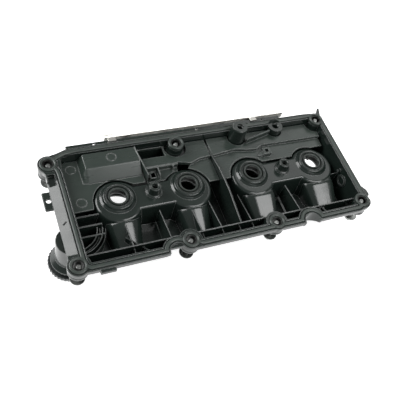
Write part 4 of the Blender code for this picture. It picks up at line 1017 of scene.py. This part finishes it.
def cover_bolt(name):
    """Bolt with a chamfered hexagon head, a flange, a plain shank and a threaded end."""
    axis = BOLT[name]
    tip = top_of(f"cover_bolt_{name}")
    under = washer_top(name) - 1.2 - GAP
    head = under - 6.5
    foot = tip - 16.0
    profile = [(4.0, head + 1.0), (6.9, under - 1.9), (7.4, under - 1.3), (7.4, under - 0.1),
               (7.2, under), (BOLT_R, under), (BOLT_R, foot), (2.4, foot + 0.6)]
    bolt = lathe("bolt", profile, axis)
    hexagon = disc("hexagon", axis, 5.2, head, under - 1.0, 6)
    chamfer = [(0, head - 1.0), (4.3, head), (5.35, head + 0.8), (5.35, under)]
    combine(hexagon, [lathe("chamfer", chamfer, axis, FINE)], "INTERSECT")
    add(bolt, [hexagon, threaded("thread", BOLT_R, 1.0, foot + 0.3, tip, axis)])
    dimple = [(0, tip - 0.7), (0.9, tip - 0.5), (1.1, tip + 1.0)]
    socket = [(2.6, head - 1.0), (2.6, head + 0.6), (0, head + 0.9)]
    x, y = axis
    slots = [block("slot", about(x, 1.7), about(y + shift, 0.22), (tip - 0.35, tip + 1.0))
             for shift in (-0.9, 0.9)]
    return cut(bolt, [lathe("dimple", dimple, axis, SMALL)] + slots + [lathe("socket", socket, axis)])


# ---- filler cap

def filler_cap_seal():
    top = NECK_Z - GAP
    return turned("cap_seal", box_outline(14.6, 17.0, top - 2.0, top), NECK, 0.7, FINE, ring=True)


def oil_filler_cap():
    """Cap with a fluted rim, a spigot in the neck and a waisted grip bar."""
    under = NECK_Z - 2.0 - 2.0 * GAP
    profile = [(20.5, CAP_Z + 4.0), (21.5, CAP_Z + 4.4), (CAP_R, CAP_Z + 6.4), (CAP_R, under - 0.5),
               (CAP_R - 0.6, under), (13.4, under), (13.4, NECK_Z + 9.4), (12.8, NECK_Z + 10.0),
               (11.4, NECK_Z + 10.0), (11.4, under - 2.0)]
    flutes = 36
    depth = 0.035
    cap = lathe("cap", profile, NECK, 6 * flutes)
    for vertex in cap.data.vertices:
        if math.hypot(vertex.co.x, vertex.co.y) > CAP_R - 2.0:
            flute = 0.5 + 0.5 * math.cos(flutes * math.atan2(vertex.co.y, vertex.co.x))
            vertex.co.x *= 1.0 - depth * flute
            vertex.co.y *= 1.0 - depth * flute
    x, y = NECK
    outline = arc((x + 14.5, y), 4.6, -70, 70, 10) + arc((x, y + 26.0), 21.4, 250, 290, 12)[::-1]
    outline += arc((x - 14.5, y), 4.6, 110, 250, 10) + arc((x, y - 26.0), 21.4, 70, 110, 12)[::-1]
    grip = [at_height(offset_loop(outline, -1.2), CAP_Z),
            at_height(offset_loop(outline, -0.4), CAP_Z + 0.3),
            at_height(outline, CAP_Z + 1.2),
            at_height(outline, CAP_Z + 5.0)]
    ring = [(20.0, CAP_Z + 4.6), (20.0, CAP_Z + 3.3), (19.0, CAP_Z + 3.3), (19.0, CAP_Z + 4.6)]
    return add(cap, [loft("grip", grip), turned("cap_ring", ring, NECK, 0.3, FINE, ring=True)])


# ---- crankcase pressure regulator

def regulator_diaphragm():
    """Rubber disc with one rolled fold, clamped by its rim under the cup."""
    upper = CUP_Z - GAP
    profile = [(10.2, upper - 1.5), (11.6, upper + 0.1), (12.9, upper + 0.1), (14.2, upper - 0.9),
               (CUP_R - 0.2, upper - 0.9), (CUP_R - 0.2, upper), (14.5, upper), (13.1, upper + 1.0),
               (11.5, upper + 1.0), (10.0, upper - 0.6)]
    return turned("diaphragm", profile, REGULATOR, 0.3, FINE)


def plunger_top():
    return CUP_Z + 0.6


def regulator_plunger():
    """Valve disc on the diaphragm; it closes the seat tube when the engine pulls a vacuum."""
    face = top_of("regulator_plunger")
    profile = [(9.4, CUP_Z - 0.6), (9.4, plunger_top()), (6.5, plunger_top()), (6.5, face)]
    return turned("plunger", profile, REGULATOR, 0.3)


def regulator_spring():
    """Coil spring that holds the valve open, between the plunger and the cup's floor."""
    wire_r = 0.55
    coil = 8.6
    turns = 4.0
    low = plunger_top() + GAP + wire_r
    high = SPRING_SEAT_Z - GAP - wire_r
    steps = int(turns * 36)
    sides = 10
    rings = []
    for i in range(steps + 1):
        angle = 2.0 * math.pi * turns * i / steps
        middle = Vector((coil * math.cos(angle), coil * math.sin(angle), low + (high - low) * i / steps))
        outward = Vector((math.cos(angle), math.sin(angle), 0.0))
        round_wire = [2.0 * math.pi * k / sides for k in range(sides)]
        rings.append([middle + outward * wire_r * math.cos(t) + Vector((0, 0, wire_r * math.sin(t)))
                      for t in round_wire])
    return loft("spring", rings, REGULATOR)


def regulator_cover():
    """Snap-on lid below the diaphragm, with ribs, snap tabs and a vent to the open air."""
    rim = CUP_Z - 2.0 * GAP - 0.9
    foot = rim - 7.5
    profile = [(5.0, foot + 0.6), (5.6, foot), (7.0, foot), (7.6, foot + 0.6), (14.6, foot + 0.6),
               (15.2, foot), (17.0, foot), (CUP_R, rim - 6.0), (CUP_R, rim), (16.4, rim), (16.4, rim - 5.3)]
    lid = turned("lid", profile, REGULATOR, 0.5, FINE)
    place = (*REGULATOR, 0.0)
    add(lid, [turn_to(block("spoke", (6.6, 15.4), (-0.6, 0.6), (foot + 0.1, foot + 1.6)), place,
                      (0.0, 0.0, 60.0 * k + 30.0)) for k in range(6)])
    tools = [turn_to(block("notch", (CUP_R - 0.6, CUP_R + 1.0), (-3.0, 3.0), (rim - 2.6, rim - 1.4)), place,
                     (0.0, 0.0, 90.0 * k + 45.0)) for k in range(4)]
    tools.append(disc("vent", (REGULATOR[0], REGULATOR[1] + 11.0), 1.2, foot - 2.0, rim - 4.0, SMALL))
    return cut(lid, tools)


def breather_pipe():
    """Hose nipple that is welded in the side of the regulator cup, with a barbed end."""
    inner, outer, barb = PIPE_R - 1.8, PIPE_R, PIPE_R + 1.0
    profile = [(inner, 17.0), (outer, 17.0), (outer, 20.0), (8.2, 20.0), (8.2, 22.0), (outer, 22.0),
               (outer, 54.6), (barb, 56.4), (barb, 57.4), (outer + 0.1, 58.4), (inner + 0.6, 64.0),
               (inner, 64.0)]
    pipe = turned("pipe", profile, MIDDLE, 0.3, ring=True)
    return turn_to(pipe, (*REGULATOR, PIPE_Z), (0.0, 90.0, 0.0))


# ---- heat shield

def heat_shield():
    """Embossed aluminium sheet on the hot side, with rolled hems, hung in two slots of the lip."""
    y0, y1 = SHIELD_Y, SHIELD_Y + SHIELD_SHEET
    low = SHIELD_LOW_Z
    catch = SLOT_Y[0] + 0.8
    outside = [(y1 + 0.3, low - 0.2), (y1 + 0.6, low + 0.8), (y1, low + 2.0), (y1, -31.0),
               (y1 + 1.6, -28.0), (y1 + 1.6, -14.0), (y1, -11.0), (y1, -2.4), (y1 + 2.8, -0.9),
               (y1 + 3.2, -0.4), (y1 + 2.9, 0.3)]
    inside = [(y0, -1.4), (y0, -11.0), (y0 + 1.6, -14.0), (y0 + 1.6, -28.0), (y0, -31.0), (y0, low + 2.0),
              (y0, low)]
    hook = [(y0 + 0.5, -2.8), (y0 + 0.5, -1.7), (catch, -1.2), (catch, -8.5), (catch + 1.0, -8.5),
            (catch + 1.0, -2.4)]
    swage = [(y0 + 0.4, -26.0), (y1 + 1.4, -26.0), (y1 + 2.6, -24.5), (y1 + 2.6, -17.5), (y1 + 1.4, -16.0),
             (y0 + 0.4, -16.0)]
    shield = side_plate("sheet", soften(outside + inside, 0.8), *SHIELD_X, 0.3)
    parts = [side_plate("hook", hook, x0 + 1.0, x1 - 1.0, 0.25) for x0, x1 in SLOT_X]
    parts += [side_plate("swage", swage, *about(x, 9.0), 1.2)
              for x in (-110.0, -66.0, -22.0, 22.0, 60.0, 104.0)]
    add(shield, parts)
    return cut(shield, [on_shield(disc("screw_hole", MIDDLE, 2.7, -4.0, 8.0, SMALL), x, SHIELD_Y)
                        for x in SHIELD_SCREW_X])


def shield_screw(x):
    """Pan-head screw with a cross recess that holds the shield on a boss of the rear wall."""
    profile = [(1.6, -12.0), (2.0, -11.0), (2.0, 0.0), (4.6, 0.0), (4.6, 1.4), (3.6, 2.7), (1.8, 2.95)]
    screw = turned("screw", profile, MIDDLE, 0.25)
    long, narrow, deep = (-2.2, 2.2), (-0.45, 0.45), (1.4, 5.0)
    cut(screw, [block("recess", long, narrow, deep), block("recess", narrow, long, deep)])
    place = (x, SHIELD_Y + SHIELD_SHEET + 1.6 + GAP, SHIELD_SCREW_Z)
    return turn_to(screw, place, (-90.0, 0.0, 0.0))


# ---- materials

DUST_COLOUR = (0.16, 0.165, 0.15, 1.0)


def fill(tree, node, inputs):
    """Sets a node's inputs; each takes a value, an output or another node's first output in use."""
    for key, value in inputs.items():
        if isinstance(value, bpy.types.Node):
            value = next(socket for socket in value.outputs if socket.enabled)
        if isinstance(value, bpy.types.NodeSocket):
            tree.links.new(value, node.inputs[key])
        else:
            node.inputs[key].default_value = value


def wire(tree, kind, inputs, **settings):
    """New shader node with its settings and inputs."""
    node = tree.nodes.new(f"ShaderNode{kind}")
    for key, value in settings.items():
        setattr(node, key, value)
    fill(tree, node, inputs)
    return node


def noise(tree, place, scale, detail, roughness=0.5):
    return wire(tree, "TexNoise", {"Vector": place, "Scale": scale, "Detail": detail,
                                   "Roughness": roughness})


def mixed(tree, factor, first, second):
    return wire(tree, "Mix", {"Factor": factor, "A": first, "B": second}, data_type="RGBA")


def ranged(tree, value, source, result):
    """Maps one range of a value to another."""
    return wire(tree, "MapRange", {"Value": value, "From Min": source[0], "From Max": source[1],
                                   "To Min": result[0], "To Max": result[1]})


def opaque(colour):
    return (*colour, 1.0)


def new_look(name):
    """Empty material, its node tree and the place of each point on the object."""
    look = bpy.data.materials.new(name)
    look.use_nodes = True
    tree = look.node_tree
    return look, tree, wire(tree, "TexCoord", {}).outputs["Object"]


def surface(name, dark, pale, rough, metallic=0.0, edge=(0.4, 0.25), grain=(2600.0, 0.02),
            flow=(9.0, 60.0, 60.0), dust=0.12):
    """Mottled colour, flow marks in the sheen, fine grain, softened edges with a painted highlight along
    them, and a trace of dust.

    Edge is a radius in millimetres and the strength of the painted edge highlight; grain is a scale and a
    depth in millimetres.
    """
    look, tree, place = new_look(name)
    cloud = noise(tree, place, 26.0, 5.0, 0.6)
    streak = noise(tree, wire(tree, "Mapping", {"Vector": place, "Scale": flow}), 1.0, 6.0, 0.65)
    speck = noise(tree, place, grain[0], 2.0)
    mottle = mixed(tree, cloud, opaque(dark), opaque(pale))

    soft = wire(tree, "Bevel", {"Radius": edge[0] * MM}, samples=4)
    normal = wire(tree, "NewGeometry", {}).outputs["Normal"]
    agree = wire(tree, "VectorMath", {0: soft, 1: normal}, operation="DOT_PRODUCT")
    # Painted highlight: where the bevel normal turns away from the face, the edge is mixed towards a pale
    # grey, in streaks.
    rim = ranged(tree, agree, (1.0, 0.9), (0.0, edge[1]))
    painted_edge_highlight = wire(tree, "Math", {0: rim, 1: streak}, operation="MULTIPLY")
    edged = mixed(tree, painted_edge_highlight, mottle, opaque([0.35 + 0.65 * channel for channel in pale]))

    upward = wire(tree, "SeparateXYZ", {"Vector": normal}).outputs["Z"]
    settled = wire(tree, "Math", {0: upward, 1: cloud}, operation="MULTIPLY")
    powder = mixed(tree, ranged(tree, settled, (0.3, 0.8), (0.0, dust)), edged, DUST_COLOUR)

    sheen = ranged(tree, streak, (0.3, 0.75), (rough - 0.05, rough + 0.09))
    relief = wire(tree, "Bump", {"Height": speck, "Strength": 0.35, "Distance": grain[1] * MM,
                                 "Normal": soft})
    fill(tree, tree.nodes["Principled BSDF"],
         {"Base Color": powder, "Roughness": sheen, "Normal": relief, "Metallic": metallic})
    return look


def embossed(look, scale, depth):
    """Adds the small dimples of embossed sheet under a material's fine grain."""
    tree = look.node_tree
    relief = tree.nodes["Bump"]
    place = tree.nodes["Texture Coordinate"].outputs["Object"]
    cells = wire(tree, "TexVoronoi", {"Vector": place, "Scale": scale}, feature="SMOOTH_F1")
    dimples = wire(tree, "Bump", {"Height": cells, "Strength": 0.6, "Distance": depth * MM,
                                  "Normal": relief.inputs["Normal"].links[0].from_socket})
    fill(tree, relief, {"Normal": dimples})
    return look


# The second number of each edge is the strength of a painted highlight along the edges.
SHELL = surface("shell_nylon_look", (0.0070, 0.0112, 0.0094), (0.014, 0.0212, 0.0180), 0.15,
                edge=(1.0, 0.7), dust=0.03)
BAFFLE = surface("baffle_nylon_look", (0.017, 0.0248, 0.0208), (0.029, 0.040, 0.034), 0.27,
                 edge=(1.2, 1.1), dust=0.06)
RUBBER = surface("gasket_rubber_look", (0.022, 0.030, 0.026), (0.036, 0.047, 0.041), 0.32, edge=(0.5, 0.4),
                 grain=(1800.0, 0.03), flow=(40.0, 40.0, 40.0))
SEAL = surface("seal_rubber_look", (0.014, 0.019, 0.0165), (0.026, 0.034, 0.030), 0.34, edge=(0.2, 0.1),
               grain=(1800.0, 0.03), flow=(40.0, 40.0, 40.0))
ZINC = surface("zinc_steel_look", (0.20, 0.21, 0.20), (0.38, 0.39, 0.38), 0.30, 1.0, edge=(0.15, 0.3),
               grain=(1200.0, 0.02), flow=(120.0, 120.0, 700.0), dust=0.05)
STEEL = surface("steel_look", (0.040, 0.042, 0.040), (0.095, 0.098, 0.094), 0.38, 1.0, edge=(0.15, 0.3),
                grain=(1200.0, 0.02), flow=(120.0, 120.0, 900.0), dust=0.05)
ALUMINIUM = surface("aluminium_look", (0.74, 0.73, 0.68), (0.92, 0.91, 0.86), 0.32, 1.0,
                    edge=(0.2, 0.1), grain=(900.0, 0.02), flow=(8.0, 300.0, 300.0), dust=0.0)
embossed(ALUMINIUM, 300.0, 0.25)
CAP = surface("cap_nylon_look", (0.011, 0.014, 0.014), (0.022, 0.026, 0.026), 0.30, grain=(1500.0, 0.04))


# ---- assembly

# Each of these functions has the name of the CAD node that its piece stands for
LOOKS = {cover_shell: SHELL, perimeter_gasket: RUBBER, separator_plate_left: BAFFLE,
         separator_plate_middle: BAFFLE, separator_plate_right: BAFFLE, oil_filler_cap: CAP,
         filler_cap_seal: SEAL, regulator_cover: CAP, regulator_diaphragm: SEAL, regulator_plunger: BAFFLE,
         breather_pipe: BAFFLE, heat_shield: ALUMINIUM}
for build, look in LOOKS.items():
    finish_piece(build(), build.__name__, look)
SPRING_ENDS = ((*REGULATOR, plunger_top()), (*REGULATOR, SPRING_SEAT_Z))
finish_piece(regulator_spring(), "regulator_spring", STEEL,
             stretch=(BODY_OF["regulator_plunger"], *SPRING_ENDS))
for number, x in enumerate(INJECTOR_X, start=1):
    finish_piece(injector_seal(x), f"injector_seal_{number}", SEAL)
    finish_piece(injector_seal_case(x), f"injector_seal_case_{number}", STEEL)
for side, x in zip(("left", "right"), CLAMP_X):
    finish_piece(clamp_bolt_seal(x), f"clamp_bolt_seal_{side}", SEAL)
for side, x in zip(("left", "right"), SHIELD_SCREW_X):
    finish_piece(shield_screw(x), f"shield_screw_{side}", ZINC)
for name in BOLT_NAMES:
    finish_piece(cover_bolt(name), f"cover_bolt_{name}", ZINC)
    finish_piece(bolt_washer(name), f"bolt_washer_{name}", ZINC)
    finish_piece(bolt_sleeve(name), f"bolt_sleeve_{name}", STEEL)
    finish_piece(bolt_grommet(name), f"bolt_grommet_{name}", RUBBER)


# ---- studio

WHITE = (1.0, 1.0, 1.0, 1.0)

# Strength of the light from the white room and from the floor
ROOM_GLOW = 0.30
FLOOR_GLOW = 0.75

# Half of the floor's side and its gap below the cover, in metres
FLOOR_HALF = 6.0
FLOOR_DROP = 0.0005

# Film width and focal length in millimetres, then the camera's place in metres and its axes as rows
SENSOR_WIDTH = 36.0
FOCAL_LENGTH = 52.05
CAMERA_PLACE = (-0.28795, -0.40616, 0.55209)
CAMERA_TURN = ((0.91506, 0.17888, -0.36148), (-0.34047, 0.82305, -0.45461), (0.21620, 0.53907, 0.81404))

# Name, place and sides in metres, tilt about X and Y in degrees, power in watts
SOFTBOXES = [("key", (0.42, -0.47, 0.93), (0.75, 0.40), (23.0, 24.0), 7.0),
             ("rear_left", (-0.85, 0.46, 0.62), (0.75, 0.75), (-24.0, -54.0), 13.5),
             ("rear_right", (0.81, 0.44, 0.89), (0.65, 0.65), (-20.0, 40.0), 1.8),
             ("front", (-0.05, -1.10, 0.62), (0.90, 0.40), (62.0, -3.0), 2.2)]


def floor():
    """Wide pale sheet just below the cover, with a glow that keeps it nearly white."""
    foot = cad_box[0].z - FLOOR_DROP
    corners = box_outline(-FLOOR_HALF, FLOOR_HALF, -FLOOR_HALF, FLOOR_HALF)
    bm = bmesh.new()
    bm.faces.new([bm.verts.new((x, y, foot)) for x, y in corners])
    sheet = make_object("floor", bm)
    look, tree, place = new_look("paper")
    fibre = noise(tree, place, 90.0, 4.0)
    tone = mixed(tree, fibre, (0.93, 0.93, 0.93, 1.0), (0.96, 0.96, 0.96, 1.0))
    fill(tree, tree.nodes["Principled BSDF"],
         {"Base Color": tone, "Roughness": 0.9, "Specular IOR Level": 0.2,
          "Emission Color": WHITE, "Emission Strength": FLOOR_GLOW})
    sheet.data.materials.append(look)


def softbox(name, place, sides, tilt, power):
    """Rectangular area light that faces down and is tilted towards the cover."""
    lamp = bpy.data.lights.new(name, "AREA")
    lamp.shape = "RECTANGLE"
    lamp.size, lamp.size_y = sides
    lamp.energy = power
    obj = bpy.data.objects.new(name, lamp)
    bpy.context.scene.collection.objects.link(obj)
    turn_to(obj, place, (*tilt, 0.0))


def studio():
    scene = bpy.context.scene
    world = bpy.data.worlds.new("white_room")
    world.use_nodes = True
    tree = world.node_tree
    seen = wire(tree, "LightPath", {}).outputs["Is Camera Ray"]
    strength = ranged(tree, seen, (0.0, 1.0), (ROOM_GLOW, 1.0))
    fill(tree, tree.nodes["Background"], {"Color": WHITE, "Strength": strength})
    scene.world = world
    scene.view_settings.view_transform = "Standard"
    floor()
    for name, place, sides, tilt, power in SOFTBOXES:
        softbox(name, place, sides, tilt, power)


def camera():
    """Looks down on the inside from the front left."""
    lens = bpy.data.cameras.new("camera")
    lens.sensor_width = SENSOR_WIDTH
    lens.lens = FOCAL_LENGTH
    obj = bpy.data.objects.new("camera", lens)
    obj.matrix_world = Matrix.Translation(CAMERA_PLACE) @ Matrix(CAMERA_TURN).to_4x4()
    bpy.context.scene.collection.objects.link(obj)
    bpy.context.scene.camera = obj


studio()
camera()
